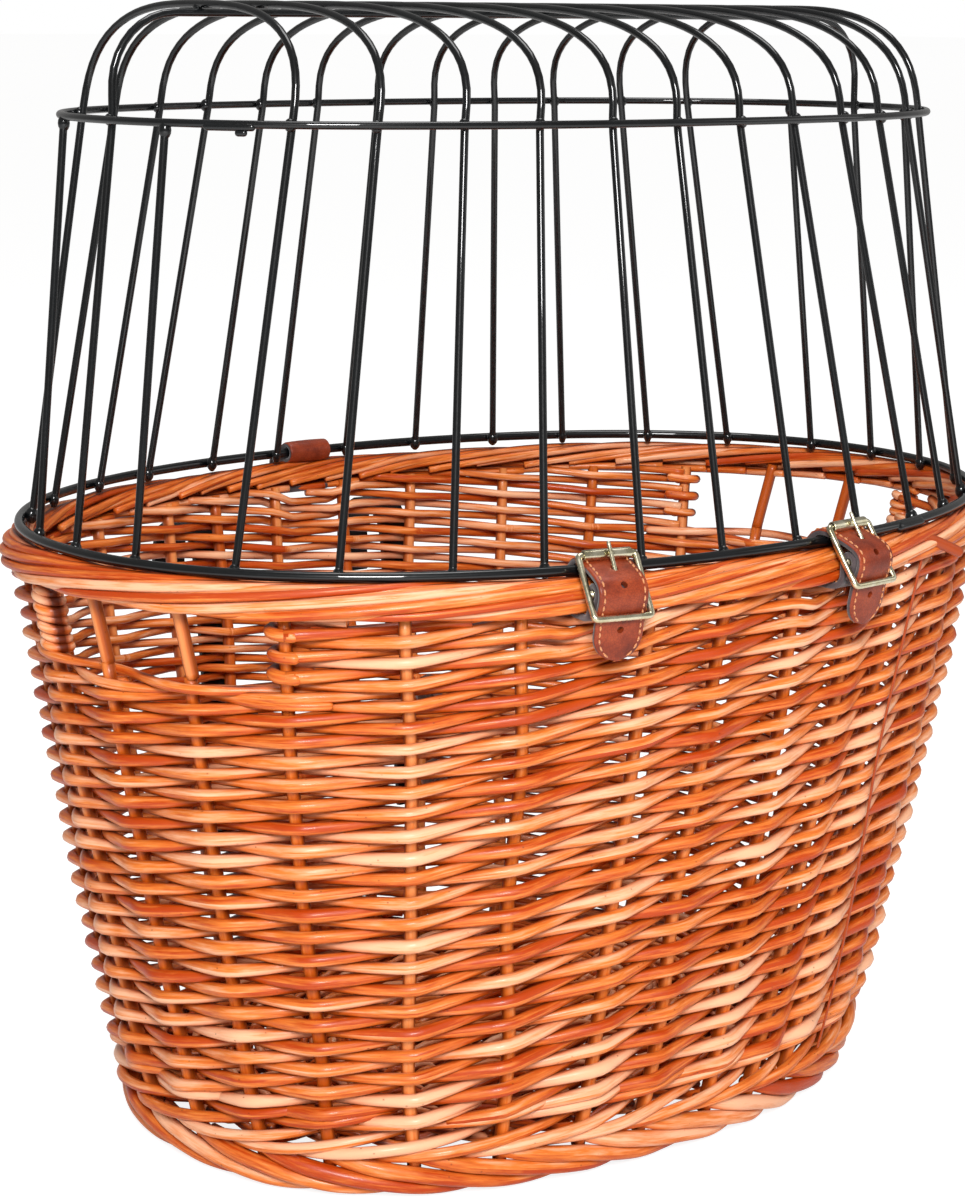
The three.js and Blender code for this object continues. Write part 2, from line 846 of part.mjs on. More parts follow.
function tongueLine() {
  const overRing = baseWireRadius + restGap + halfLeather;
  const overFold = foldRadius + leatherThickness + restGap;
  const points = [];
  for (let step = 0; step < 4; step += 1) {
    const turn = (step / 4) * (Math.PI / 2);
    const rise = insideLegTopDrop - restGap + overRing;
    points.push(new THREE.Vector3(
      -insideLeg * Math.cos(turn),
      -insideLegTopDrop + restGap + rise * Math.sin(turn),
      0,
    ));
  }
  points.push(new THREE.Vector3(0, overRing, 0));
  const underRoller = rollerRadius + restGap + halfLeather;
  points.push(new THREE.Vector3(topBarOut, topBarUp - underRoller, 0));
  for (let step = 0; step < 3; step += 1) {
    const angle = THREE.MathUtils.lerp(tongueFoldStartAngle, tongueFoldEndAngle, step / 2);
    points.push(new THREE.Vector3(
      middleBarOut + overFold * Math.cos(angle),
      -middleBarDrop + overFold * Math.sin(angle),
      0,
    ));
  }
  const inBottom = barRadius + looseGap + halfLeather;
  points.push(new THREE.Vector3(bottomBarOut - inBottom, -bottomBarDrop, 0));
  points.push(new THREE.Vector3(tongueTipOut, -tongueTipDrop, 0));
  const curve = new THREE.CatmullRomCurve3(points, false, 'centripetal');
  return curve.getSpacedPoints(tongueSteps).map((point) => new THREE.Vector2(point.x, point.y));
}

function makeTongue() {
  const line = tongueLine();
  const strap = acrossBody(ribbonShape(line, leatherThickness), strapWidth);
  const tip = line[line.length - 1];
  const half = strapWidth / 2;
  const keep = new THREE.Shape();
  keep.moveTo(-half - looseGap, insideLegTopDrop * 2);
  keep.lineTo(-half - looseGap, tip.y + half);
  keep.absarc(0, tip.y + half, half, Math.PI, 2 * Math.PI, false);
  keep.lineTo(half + looseGap, tip.y + half);
  keep.lineTo(half + looseGap, insideLegTopDrop * 2);
  const keeper = new THREE.ExtrudeGeometry(keep, {
    depth: 8 * half,
    bevelEnabled: false,
    curveSegments: holeSides,
  });
  keeper.translate(0, 0, -4 * half);
  keeper.rotateX(Math.PI / 2);
  const rounded = toSolid(strap).intersect(toSolid(keeper));
  const { start, end } = prongLine();
  const prongHole = wireBody([sidePoint(start), sidePoint(end)], prongRadius + prongHoleRoom, holeSides);
  const spareHoles = [0, 1].map((count) => {
    const hole = new THREE.CylinderGeometry(holeRadius, holeRadius, 2 * half, holeSides);
    return hole.translate(0, bottomBarOut, -firstHoleDrop - count * holeSpacing);
  });
  let solid = rounded;
  for (const hole of [prongHole, ...spareHoles]) {
    solid = solid.subtract(toSolid(hole));
  }
  return toGeometry(solid);
}

// Buckles
function barAt(out, up) {
  const bar = new THREE.CylinderGeometry(barRadius, barRadius, 2 * railPlace, barSides);
  return bar.rotateZ(Math.PI / 2).translate(0, out, up);
}

function makeBuckleFrame() {
  const pieces = [
    barAt(topBarOut, topBarUp),
    barAt(middleBarOut, -middleBarDrop),
    barAt(bottomBarOut, -bottomBarDrop),
  ];
  for (const side of [-1, 1]) {
    const points = [
      new THREE.Vector3(side * railPlace, topBarOut, topBarUp),
      new THREE.Vector3(side * railPlace, middleBarOut, -middleBarDrop),
      new THREE.Vector3(side * railPlace, bottomBarOut, -bottomBarDrop),
    ];
    pieces.push(wireBody(points, barRadius, barSides));
    for (const end of [points[0], points[2]]) {
      const corner = new THREE.SphereGeometry(barRadius, barSides, barSides / 2);
      pieces.push(corner.rotateZ(Math.PI / 2).translate(end.x, end.y, end.z));
    }
  }
  return joinUp(pieces);
}

function makeRoller() {
  const half = strapWidth / 2 - restGap;
  const profile = [
    [rollerBore, -half],
    [rollerRadius, -half],
    [rollerRadius, half],
    [rollerBore, half],
    [rollerBore, -half],
  ];
  const points = profile.map(([radius, along]) => new THREE.Vector2(radius, along));
  const roller = new THREE.LatheGeometry(points, boltSides);
  return roller.rotateZ(Math.PI / 2).translate(0, topBarOut, topBarUp);
}

function makeProng() {
  const bore = barRadius + restGap;
  const half = prongRingLength / 2;
  const profile = [
    [bore, -half],
    [bore + prongRingWall, -half],
    [bore + prongRingWall, half],
    [bore, half],
    [bore, -half],
  ];
  const points = profile.map(([radius, along]) => new THREE.Vector2(radius, along));
  const eye = new THREE.LatheGeometry(points, boltSides).rotateZ(Math.PI / 2);
  eye.translate(0, middleBarOut, -middleBarDrop);
  const { start, end } = prongLine();
  const length = start.distanceTo(end);
  const shank = new THREE.CylinderGeometry(prongTipRadius, prongRadius, length, barSides);
  shank.translate(0, length / 2, 0);
  shank.rotateX(Math.atan2(end.y - start.y, end.x - start.x));
  shank.translate(0, start.x, start.y);
  const barPath = new THREE.CylinderGeometry(bore, bore, 2 * prongRingLength, boltSides);
  barPath.rotateZ(Math.PI / 2).translate(0, middleBarOut, -middleBarDrop);
  return cutAway(joinUp([eye, shank]), [barPath]);
}

// Assembly
const body = new THREE.Group();
body.add(makeMesh('foot_border', makeFootBorder(), darkWillow));
body.add(makeMesh('waling_band', makeWaling(), willow));
body.add(makeMesh('basket_floor', makeFloor(), darkWillow));
body.add(makeMesh('basket_wall', makeWall(), willow));
body.add(makeMesh('rim_border', makeRimBorder(), willow));
body.add(makeMesh('window_stake_left_1', makeWindowStake(-1, firstStakePlace), darkWillow));
body.add(makeMesh('window_stake_left_2', makeWindowStake(-1, secondStakePlace), darkWillow));
body.add(makeMesh('window_stake_right_1', makeWindowStake(1, firstStakePlace), darkWillow));
body.add(makeMesh('window_stake_right_2', makeWindowStake(1, secondStakePlace), darkWillow));

const cage = new THREE.Group();
cage.add(makeMesh(
  'base_ring',
  bandBody(roundProfile(baseWireRadius, ringHeight, baseWireSides), () => rimOutline),
  blackWire,
));
cage.add(makeMesh(
  'upper_ring',
  bandBody(roundProfile(wireRadius, upperRingHeight, wireSides), () => upperOutline),
  blackWire,
));
const hoopCount = hoopFootShares.length;
for (let place = 0; place < hoopCount; place += 1) {
  const leftNumber = String(hoopCount - place).padStart(2, '0');
  const rightNumber = String(hoopCount + place + 1).padStart(2, '0');
  cage.add(makeMesh(`hoop_${leftNumber}`, makeHoop(-1, place), blackWire));
  cage.add(makeMesh(`hoop_${rightNumber}`, makeHoop(1, place), blackWire));
}
cage.add(makeMesh('ridge_wire', makeRidge(), blackWire));
cage.add(makeMesh('end_bar_left_front', makeEndBar(-1, -1), blackWire));
cage.add(makeMesh('end_bar_left_back', makeEndBar(-1, 1), blackWire));
cage.add(makeMesh('end_bar_right_front', makeEndBar(1, -1), blackWire));
cage.add(makeMesh('end_bar_right_back', makeEndBar(1, 1), blackWire));

hingeFrame.add(makeMesh('hinge_strap', makeHingeStrap(), leather));
for (const [side, frame] of Object.entries(strapFrames)) {
  frame.add(makeMesh(`buckle_strap_${side}`, makeBuckleStrap(), leather));
  frame.add(makeMesh(`strap_tongue_${side}`, makeTongue(), leather));
  frame.add(makeMesh(`buckle_frame_${side}`, makeBuckleFrame(), brass));
  frame.add(makeMesh(`buckle_roller_${side}`, makeRoller(), brass));
  frame.add(makeMesh(`buckle_prong_${side}`, makeProng(), brass));
}

for (const [side, frame] of Object.entries(hookFrames)) {
  frame.add(makeMesh(`handlebar_hook_${side}`, hookBody(frame), blackSteel));
}
const hardware = { hook_bolt: makeBolt, hook_washer: makeWasher, hook_nut: makeNut };
for (const [name, makeOne] of Object.entries(hardware)) {
  for (const [place, geometry] of Object.entries(boltSet(makeOne))) {
    body.add(makeMesh(`${name}_${place}`, geometry, plainSteel));
  }
}

const basket = new THREE.Group();
basket.add(body, cage, hingeFrame);
basket.add(strapFrames.left, strapFrames.right, hookFrames.left, hookFrames.right);

// The origin is on the ground under the middle of the whole part
const reach = new THREE.Box3().setFromObject(basket, true);
const middle = reach.getCenter(new THREE.Vector3());
basket.position.set(-middle.x, -middle.y, 0);
basket.updateMatrixWorld(true);

export default basket;
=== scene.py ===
import math
import random
from functools import partial

import bpy
import numpy as np
from mathutils import Euler, Matrix, Vector


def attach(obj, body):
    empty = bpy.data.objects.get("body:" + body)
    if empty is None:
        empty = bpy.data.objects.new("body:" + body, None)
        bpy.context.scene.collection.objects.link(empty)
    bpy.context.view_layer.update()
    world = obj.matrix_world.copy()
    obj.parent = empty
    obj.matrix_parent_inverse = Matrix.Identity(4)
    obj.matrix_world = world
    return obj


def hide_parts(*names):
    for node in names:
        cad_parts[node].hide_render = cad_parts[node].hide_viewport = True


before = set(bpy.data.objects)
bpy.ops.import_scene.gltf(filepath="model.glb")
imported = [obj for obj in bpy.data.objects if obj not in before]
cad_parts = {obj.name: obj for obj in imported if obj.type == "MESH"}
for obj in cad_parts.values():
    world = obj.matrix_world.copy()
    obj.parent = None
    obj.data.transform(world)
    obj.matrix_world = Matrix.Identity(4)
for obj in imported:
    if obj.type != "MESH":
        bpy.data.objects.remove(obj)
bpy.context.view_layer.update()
bpy.ops.object.select_all(action="DESELECT")
rng = random.Random(41)
print("frame loaded:", len(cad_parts), "nodes")

# sizes are in mm here and turned to metres when a mesh is made
mm = 0.001
yShift = -8.732
ringHeight = 257.0
# outlines: half length, half width, oval power and how far back the middle lies
footOutline = (154.4, 110.5, 2.36, 11.3)
rimOutline = (215.0, 152.9, 2.14, 0.0)
upperOutline = (195.5, 120.2, 2.27, 2.9)
flarePower = 0.81


def sPow(value, power):
    return np.sign(value) * np.abs(value) ** power


def wallOutline(z):
    share = (np.maximum(z, 0.0) / ringHeight) ** flarePower
    return [low + (high - low) * share for low, high in zip(footOutline, rimOutline)]


def outlinePoint(outline, t, z, out):
    # point on a rounded oblong, pushed outwards, with the outward direction
    a, b, n, back = outline
    t = np.asarray(t, float)
    nx = sPow(np.cos(t), 2 - 2 / n) / a
    ny = sPow(np.sin(t), 2 - 2 / n) / b
    size = np.hypot(nx, ny)
    nx, ny = nx / size, ny / size
    x = a * sPow(np.cos(t), 2 / n) + out * nx
    y = b * sPow(np.sin(t), 2 / n) + back + yShift + out * ny
    return np.stack([x, y, z + 0 * x], -1), np.stack([nx, ny, 0 * nx], -1)


def angleAtLength(outline, place, side):
    return side * math.acos(sPow(place / outline[0], outline[2] / 2))


def angleAtWidth(outline, place, side):
    turn = math.asin(sPow(place / outline[1], outline[2] / 2))
    return turn if side > 0 else math.pi - turn


def smoothKeys(keys, at):
    # smooth curve through rows of (place, value, value...)
    keys = np.asarray(keys, float)
    place, value = keys[:, 0], keys[:, 1:]
    step = np.diff(place)
    rate = np.diff(value, axis=0) / step[:, None]
    slope = np.zeros_like(value)
    slope[0], slope[-1] = rate[0], rate[-1]
    before, after = step[:-1, None], step[1:, None]
    slope[1:-1] = (rate[1:] * before + rate[:-1] * after) / (before + after)
    at = np.asarray(at, float)
    i = np.clip(np.searchsorted(place, at) - 1, 0, len(step) - 1)
    w = ((at - place[i]) / step[i])[:, None]
    h = step[i][:, None]
    return ((1 + 2 * w) * (1 - w) ** 2 * value[i] + w * (1 - w) ** 2 * h * slope[i]
            + w * w * (3 - 2 * w) * value[i + 1] + w * w * (w - 1) * h * slope[i + 1])


def unit(vectors):
    return vectors / np.linalg.norm(vectors, axis=-1, keepdims=True)


def lengthAlong(points):
    return np.concatenate([[0], np.cumsum(np.linalg.norm(np.diff(points, axis=0), axis=1))])


def pointsAt(points, length, spots):
    return np.column_stack([np.interp(spots, length, points[:, k]) for k in range(points.shape[1])])


def evenLine(points, gap):
    points = np.asarray(points, float)
    length = lengthAlong(points)
    return pointsAt(points, length, np.linspace(0, length[-1], int(length[-1] / gap) + 1))


def smoothLine(points, steps):
    # evenly spaced points on a soft curve through the given ones
    points = np.asarray(points, float)
    gaps = np.sqrt(np.linalg.norm(np.diff(points, axis=0), axis=1))
    place = np.concatenate([[0], np.cumsum(gaps)])
    fine = smoothKeys(np.column_stack([place, points]), np.linspace(0, place[-1], 600))
    length = lengthAlong(fine)
    return pointsAt(fine, length, np.linspace(0, length[-1], steps))


# ---- rods: many round strands gathered into one mesh
def newBundle():
    return {"verts": [], "quads": [], "caps": [], "uvs": [], "capUvs": [], "rod": [], "deep": [], "count": 0}


def transported(tangent):
    # side directions that don't twist along the line
    side = np.zeros_like(tangent)
    start = np.cross(tangent[0], (0, 0, 1) if abs(tangent[0][2]) < 0.9 else (1, 0, 0))
    side[0] = unit(start)
    for i in range(1, len(tangent)):
        side[i] = unit(side[i - 1] - tangent[i] * np.dot(side[i - 1], tangent[i]))
    return side


def addRod(bundle, path, radius, sides, rod=0.5, up=None, closed=False, out=None, normals=None,
           reach=6.5, flat=1.0):
    path = np.asarray(path, float)
    count = len(path)
    radius = np.ones(count) * radius
    if closed:
        tangent = np.roll(path, -1, 0) - np.roll(path, 1, 0)
    else:
        tangent = np.gradient(path, axis=0)
    tangent = unit(tangent)
    side = transported(tangent) if up is None else unit(np.cross(tangent, up))
    over = np.cross(side, tangent)
    turn = np.arange(sides) / sides * 2 * np.pi
    spread = flat * np.cos(turn)[None, :, None] * side[:, None] + np.sin(turn)[None, :, None] * over[:, None]
    ring = path[:, None] + radius[:, None, None] * spread
    # how deep each point lies in the weave: 0 at either face and on the rods' crests, 1 in the grooves; it
    # sets the painted shade that darkens the grooves and the rods' sides in the willow's colour
    if out is None:
        deep = np.zeros((count, sides))
    else:
        off = out[:, None] + np.einsum("ijk,ik->ij", ring - path[:, None], normals)
        facing = np.abs(np.einsum("ijk,ik->ij", spread, normals))
        deep = np.clip(1 - np.abs(off) / reach, 0, 1) * (1 - 0.72 * facing)
    base = bundle["count"]
    spans = count if closed else count - 1
    i = np.arange(spans)[:, None]
    k = np.arange(sides)[None, :]
    here, there = base + i * sides, base + ((i + 1) % count) * sides
    kNext = (k + 1) % sides
    quads = np.stack([here + k, there + k, there + kNext, here + kNext], -1).reshape(-1, 4)
    length = lengthAlong(path)
    if closed:
        length = np.append(length, length[-1] + np.linalg.norm(path[0] - path[-1]))
    a, b = length[i] * mm + 0 * k, length[i + 1] * mm + 0 * k
    v0, v1 = k / sides + 0 * i, (k + 1) / sides + 0 * i
    uv = np.stack([np.stack(corner, -1) for corner in ((a, v0), (b, v0), (b, v1), (a, v1))], 2)
    bundle["verts"].append(ring.reshape(-1, 3))
    bundle["quads"].append(quads)
    bundle["uvs"].append(uv.reshape(-1, 2))
    if not closed:
        bundle["caps"].append(list(range(base, base + sides)))
        bundle["caps"].append(list(range(base + (count - 1) * sides, base + count * sides))[::-1])
        for end in (0.0, length[-1] * mm):
            bundle["capUvs"] += [(end, 0.5)] * sides
    bundle["rod"].append(np.full(count * sides, rod) if np.isscalar(rod) else np.repeat(rod, sides))
    bundle["deep"].append(deep.reshape(-1))
    bundle["count"] += count * sides


def roundEnds(path, radius, at=(True, True)):
    # rounded-off tips for a rod
    path, radius = np.asarray(path, float), np.ones(len(path)) * radius
    for end in (0, 1):
        if not at[end]:
            continue
        tip, inner = (path[0], path[1]) if end == 0 else (path[-1], path[-2])
        away = unit(tip - inner)
        r = radius[0] if end == 0 else radius[-1]
        grown = [tip + away * r * f for f in (0.45, 0.72, 0.82)]
        sizes = [r * f for f in (0.86, 0.58, 0.2)]
        if end == 0:
            path, radius = np.vstack([grown[::-1], path]), np.concatenate([sizes[::-1], radius])
        else:
            path, radius = np.vstack([path, grown]), np.concatenate([radius, sizes])
    return path, radius


def padded(values, before=3, after=3):
    # repeats the end values for the points that roundEnds adds
    return np.concatenate([values[:1]] * before + [values] + [values[-1:]] * after)


def finishBundle(bundle, name, material):
    mesh = bpy.data.meshes.new(name)
    quads = np.concatenate(bundle["quads"])
    verts = np.concatenate(bundle["verts"]) * mm
    mesh.from_pydata(verts.tolist(), [], quads.tolist() + bundle["caps"])
    layer = mesh.uv_layers.new(name="along")
    uvs = np.concatenate(bundle["uvs"] + ([np.array(bundle["capUvs"])] if bundle["capUvs"] else []))
    layer.data.foreach_set("uv", uvs.reshape(-1).astype(np.float32))
    for key in ("rod", "deep"):
        attribute = mesh.attributes.new(key, "FLOAT", "POINT")
        attribute.data.foreach_set("value", np.concatenate(bundle[key]).astype(np.float32))
    mesh.polygons.foreach_set("use_smooth", [True] * len(mesh.polygons))
    mesh.update()
    piece = bpy.data.objects.new(name, mesh)
    bpy.context.collection.objects.link(piece)
    mesh.materials.append(material)
    return piece


# ---- materials
def hexColor(code):
    parts = [int(code[i:i + 2], 16) / 255 for i in (0, 2, 4)]
    return [c / 12.92 if c <= 0.04045 else ((c + 0.055) / 1.055) ** 2.4 for c in parts] + [1]


def addNode(tree, kind, settings=None, links=None):
    # settings go on inputs (by name or number) or on the node itself; links name a node and its socket
    node = tree.nodes.new("ShaderNode" + kind)
    for key, value in (settings or {}).items():
        if isinstance(key, int) or key in node.inputs:
            node.inputs[key].default_value = hexColor(value) if isinstance(value, str) else value
        elif key == "ramp":
            ramp = node.color_ramp
            while len(ramp.elements) < len(value):
                ramp.elements.new(0.5)
            for element, (place, code) in zip(ramp.elements, value):
                element.position = place
                element.color = hexColor(code)
        elif key == "range":
            # from low and high, to low and high
            for number, end in enumerate(value, 1):
                node.inputs[number].default_value = end
        else:
            setattr(node, key, value)
    for key, (source, socket) in (links or {}).items():
        tree.links.new(source.outputs[socket], node.inputs[key])
    return node


def newMaterial(name):
    material = bpy.data.materials.new(name)
    material.use_nodes = True
    material.node_tree.nodes.clear()
    return material, partial(addNode, material.node_tree)


def willowMaterial(name, look):
    # Peeled willow under a glossy orange-brown varnish: long streaks, small buds and pores, and painted shade
    # darkening the rods' sides and the grooves between the rods
    material, add = newMaterial(name)
    rod = add("Attribute", {"attribute_name": "rod"})
    deep = add("Attribute", {"attribute_name": "deep"})
    uv = add("UVMap", {"uv_map": "along"})
    offset = add("VectorMath", {"operation": "SCALE", 0: (3.1, 7.7, 0), "Scale": 1.0},
                 {"Scale": (rod, "Fac")})
    place = add("VectorMath", {"operation": "ADD"}, {0: (uv, 0), 1: (offset, 0)})
    # streaks run along the rod: about 20 mm long and a tenth of its girth wide
    streakPlace = add("Mapping", {"Scale": (50, 9, 1)}, {"Vector": (place, 0)})
    streak = add("TexNoise", {"Scale": 1.0, "Detail": 4.0, "Roughness": 0.6}, {"Vector": (streakPlace, 0)})
    # slow change of tone over 120 mm
    slowPlace = add("Mapping", {"Scale": (8, 1.2, 1)}, {"Vector": (place, 0)})
    slow = add("TexNoise", {"Scale": 1.0, "Detail": 2.0}, {"Vector": (slowPlace, 0)})
    tone = add("Math", {"operation": "MULTIPLY_ADD", 1: 0.6}, {0: (rod, "Fac"), 2: (slow, 0)})
    mixTone = add("Math", {"operation": "MULTIPLY_ADD", 1: 0.95}, {0: (streak, 0), 2: (tone, 0)})
    scaledTone = add("Math", {"operation": "MULTIPLY_ADD", 1: 0.72, 2: -0.165}, {0: (mixTone, 0)})
    color = add("ValToRGB", {"ramp": [
        (0.56, look["dark"]), (0.74, look["mid"]), (0.93, look["light"])]}, {"Fac": (scaledTone, 0)})
    # painted shade: a half shade on the rods' sides and near the grooves, then a deep shade in the grooves
    halfShadeMask = add("MapRange", {"range": (0.12, 0.5, 0.0, 0.8)}, {"Value": (deep, "Fac")})
    halfShaded = add("Mix", {"data_type": "RGBA", 7: look["paintedHalfShade"]}, {0: (halfShadeMask, 0), 6: (color, 0)})
    deepShadeMask = add("MapRange", {"range": (0.36, 0.7, 0.0, look["paintedShadeStrength"])}, {"Value": (deep, "Fac")})
    deepShaded = add("Mix", {"data_type": "RGBA", 7: look["paintedDeepShade"]}, {0: (deepShadeMask, 0), 6: (halfShaded, 2)})
    # buds and bark specks up to half a millimetre across, one in each 6 mm of a third of the girth
    speckPlace = add("Mapping", {"Scale": (160, 3, 1)}, {"Vector": (place, 0)})
    speck = add("TexVoronoi", {"Scale": 1.0, "Randomness": 1.0}, {"Vector": (speckPlace, 0)})
    speckAmount = add("MapRange", {"range": (0.04, 0.09, 0.55, 0.0)}, {"Value": (speck, "Distance")})
    specked = add("Mix", {"data_type": "RGBA", 7: "6A2A12"}, {0: (speckAmount, 0), 6: (deepShaded, 2)})
    # fine grain, 8 mm long
    grainPlace = add("Mapping", {"Scale": (120, 26, 1)}, {"Vector": (place, 0)})
    grain = add("TexNoise", {"Scale": 1.0, "Detail": 6.0, "Roughness": 0.7}, {"Vector": (grainPlace, 0)})
    bump = add("Bump", {"Strength": 0.35, "Distance": 0.0004}, {"Height": (grain, 0)})
    gloss = add("MapRange", {"range": (0.3, 0.7, 0.3, 0.5)}, {"Value": (streak, 0)})
    shader = add("BsdfPrincipled", {
        "Specular IOR Level": 0.28, "Coat Weight": 0.16, "Coat Roughness": 0.14},
        {"Base Color": (specked, 2), "Roughness": (gloss, 0), "Normal": (bump, 0)})
    add("OutputMaterial", links={"Surface": (shader, 0)})
    return material


def paintMaterial(name, look):
    # Black plastic-coated wire or painted steel: smooth and wet-looking, with faint waves and dust
    material, add = newMaterial(name)
    here = {"Vector": (add("TexCoord"), "Object")}
    waves = add("TexNoise", {"Scale": look["waveScale"], "Detail": 3.0}, here)
    color = add("ValToRGB", {"ramp": [(0.3, look["dark"]), (0.75, look["light"])]}, {"Fac": (waves, 0)})
    fine = add("TexNoise", {"Scale": look["fineScale"], "Detail": 5.0}, here)
    gloss = add("MapRange", {"range": (0.3, 0.7, look["smooth"], look["rough"])}, {"Value": (fine, 0)})
    bump = add("Bump", {"Strength": look["bump"], "Distance": 0.0003}, {"Height": (fine, 0)})
    shader = add("BsdfPrincipled",
                 {"Specular IOR Level": 0.12, "Coat Weight": look["coat"], "Coat Roughness": 0.04},
                 {"Base Color": (color, 0), "Roughness": (gloss, 0), "Normal": (bump, 0)})
    add("OutputMaterial", links={"Surface": (shader, 0)})
    return material


def leatherMaterial(name, look):
    # Leather: pebbled skin with fine creases, with painted shade darkening the creases
    material, add = newMaterial(name)
    here = {"Vector": (add("TexCoord"), "Object")}
    pebble = add("TexVoronoi", {"Scale": look["pebbleScale"], "feature": "DISTANCE_TO_EDGE"}, here)
    blotch = add("TexNoise", {"Scale": 90.0, "Detail": 5.0, "Roughness": 0.6}, here)
    color = add("ValToRGB", {"ramp": [
        (0.3, look["dark"]), (0.5, look["mid"]), (0.72, look["light"])]}, {"Fac": (blotch, 0)})
    # painted shade: darker where the pebble height is low, in the creases
    creaseShade = add("MapRange", {"range": (0.0, 0.12, 0.5, 0.0)}, {"Value": (pebble, 0)})
    creaseShaded = add("Mix", {"data_type": "RGBA", 7: look["dark"]}, {0: (creaseShade, 0), 6: (color, 0)})
    height = add("Math", {"operation": "MINIMUM", 1: 0.2}, {0: (pebble, 0)})
    bump = add("Bump", {"Strength": look["bump"], "Distance": 0.0005}, {"Height": (height, 0)})
    fuzz = add("TexNoise", {"Scale": 1600.0, "Detail": 3.0}, here)
    bumped = add("Bump", {"Strength": 0.25, "Distance": 0.0002}, {"Height": (fuzz, 0), "Normal": (bump, 0)})
    shader = add("BsdfPrincipled", {
        "Roughness": look["rough"], "Specular IOR Level": 0.3, "Coat Weight": look["coat"],
        "Coat Roughness": 0.25, "Sheen Weight": look["sheen"]},
        {"Base Color": (creaseShaded, 2), "Normal": (bumped, 0)})
    add("OutputMaterial", links={"Surface": (shader, 0)})
    return material


def threadMaterial(name, look):
    # Waxed sewing thread: light orange with a tight twist
    material, add = newMaterial(name)
    here = {"Vector": (add("TexCoord"), "Object")}
    twist = add("TexWave", {"Scale": 900.0, "Distortion": 1.0, "bands_direction": "DIAGONAL"}, here)
    # painted shade: the thread is darker in the twist's grooves, where the bump's height is low
    color = add("ValToRGB", {"ramp": [(0.0, look["dark"]), (0.7, look["light"])]}, {"Fac": (twist, 1)})
    bump = add("Bump", {"Strength": 0.4, "Distance": 0.0002}, {"Height": (twist, 1)})
    shader = add("BsdfPrincipled", {"Roughness": 0.55, "Sheen Weight": 0.2},
                 {"Base Color": (color, 0), "Normal": (bump, 0)})
    add("OutputMaterial", links={"Surface": (shader, 0)})
    return material


def metalMaterial(name, look):
    # Plated metal: bright, with handling smudges and fine scratches
    material, add = newMaterial(name)
    here = {"Vector": (add("TexCoord"), "Object")}
    smudge = add("TexNoise", {"Scale": 220.0, "Detail": 4.0}, here)
    color = add("ValToRGB", {"ramp": [(0.3, look["dark"]), (0.65, look["light"])]}, {"Fac": (smudge, 0)})
    gloss = add("MapRange", {"range": (0.3, 0.7, look["smooth"], look["rough"])}, {"Value": (smudge, 0)})
    scratchPlace = add("Mapping", {"Scale": (300, 4000, 900)}, here)
    scratch = add("TexNoise", {"Scale": 1.0, "Detail": 3.0}, {"Vector": (scratchPlace, 0)})
    bump = add("Bump", {"Strength": 0.12, "Distance": 0.0002}, {"Height": (scratch, 0)})
    shader = add("BsdfPrincipled", {"Metallic": 1.0},
                 {"Base Color": (color, 0), "Roughness": (gloss, 0), "Normal": (bump, 0)})
    add("OutputMaterial", links={"Surface": (shader, 0)})
    return material


# the last three entries are the painted shade colours for the weave's grooves and how strong the deep shade
# gets
willow = willowMaterial("varnished willow", {
    "dark": "B23E08", "mid": "DE7A30", "light": "F0B48C", "paintedHalfShade": "BE4C0A", "paintedDeepShade": "4A1000", "paintedShadeStrength": 0.92})
stakeWillow = willowMaterial("varnished stake willow", {
    "dark": "B04E12", "mid": "DA762C", "light": "EA9A5C", "paintedHalfShade": "BC540C", "paintedDeepShade": "6E2400", "paintedShadeStrength": 0.7})
wirePaint = paintMaterial("black coated wire", {
    "dark": "050607", "light": "0E1012", "waveScale": 60.0, "fineScale": 900.0,
    "smooth": 0.3, "rough": 0.42, "bump": 0.1, "coat": 0.8})
hookPaint = paintMaterial("black powder coat", {
    "dark": "101113", "light": "202225", "waveScale": 40.0, "fineScale": 2600.0,
    "smooth": 0.38, "rough": 0.5, "bump": 0.3, "coat": 0.1})
skin = leatherMaterial("red-brown leather", {
    "dark": "561A0A", "mid": "863216", "light": "A24622", "pebbleScale": 900.0,
    "bump": 0.35, "rough": 0.42, "coat": 0.15, "sheen": 0.0})
suede = leatherMaterial("grey-brown flesh side", {
    "dark": "2A2224", "mid": "42383A", "light": "5A4E50", "pebbleScale": 1400.0,
    "bump": 0.2, "rough": 0.8, "coat": 0.0, "sheen": 0.35})
thread = threadMaterial("light orange thread", {"dark": "A65A30", "light": "DC9660"})
brass = metalMaterial("pale brass plate", {"dark": "C2B994", "light": "E6DFC6", "smooth": 0.2, "rough": 0.34})
zinc = metalMaterial("zinc plate", {"dark": "8E9296", "light": "B6BABE", "smooth": 0.28, "rough": 0.42})
print("materials made")

# ---- stakes and weave
# the back half's stakes stand opposite the front's
frontStakes = [185.2, 200.6, 214.2, 229.3, 242.9, 256.8, 265.5,
               274.3, 283.2, 291.1, 304.7, 319.5, 335.6, 352.3]
stakeTurns = np.radians(frontStakes + [degrees + 180 for degrees in frontStakes] + [frontStakes[0] + 360])
stakeCount = len(stakeTurns) - 1


def turnAt(u):
    # angle round the wall for a place counted in stakes
    laps = np.floor(np.asarray(u, float) / stakeCount)
    return np.interp(u - laps * stakeCount, np.arange(stakeCount + 1), stakeTurns) + laps * 2 * math.pi


def onWall(u, z, out):
    return outlinePoint(wallOutline(z), turnAt(u), z, out)


def wander(u, amount, seed):
    # slow uneven drift, one random value a stake, eased between them
    values = np.random.RandomState(seed).uniform(-amount, amount, 400)
    cell = np.floor(u).astype(int)
    w = u - cell
    w = w * w * (3 - 2 * w)
    return values[cell % 400] * (1 - w) + values[(cell + 1) % 400] * w


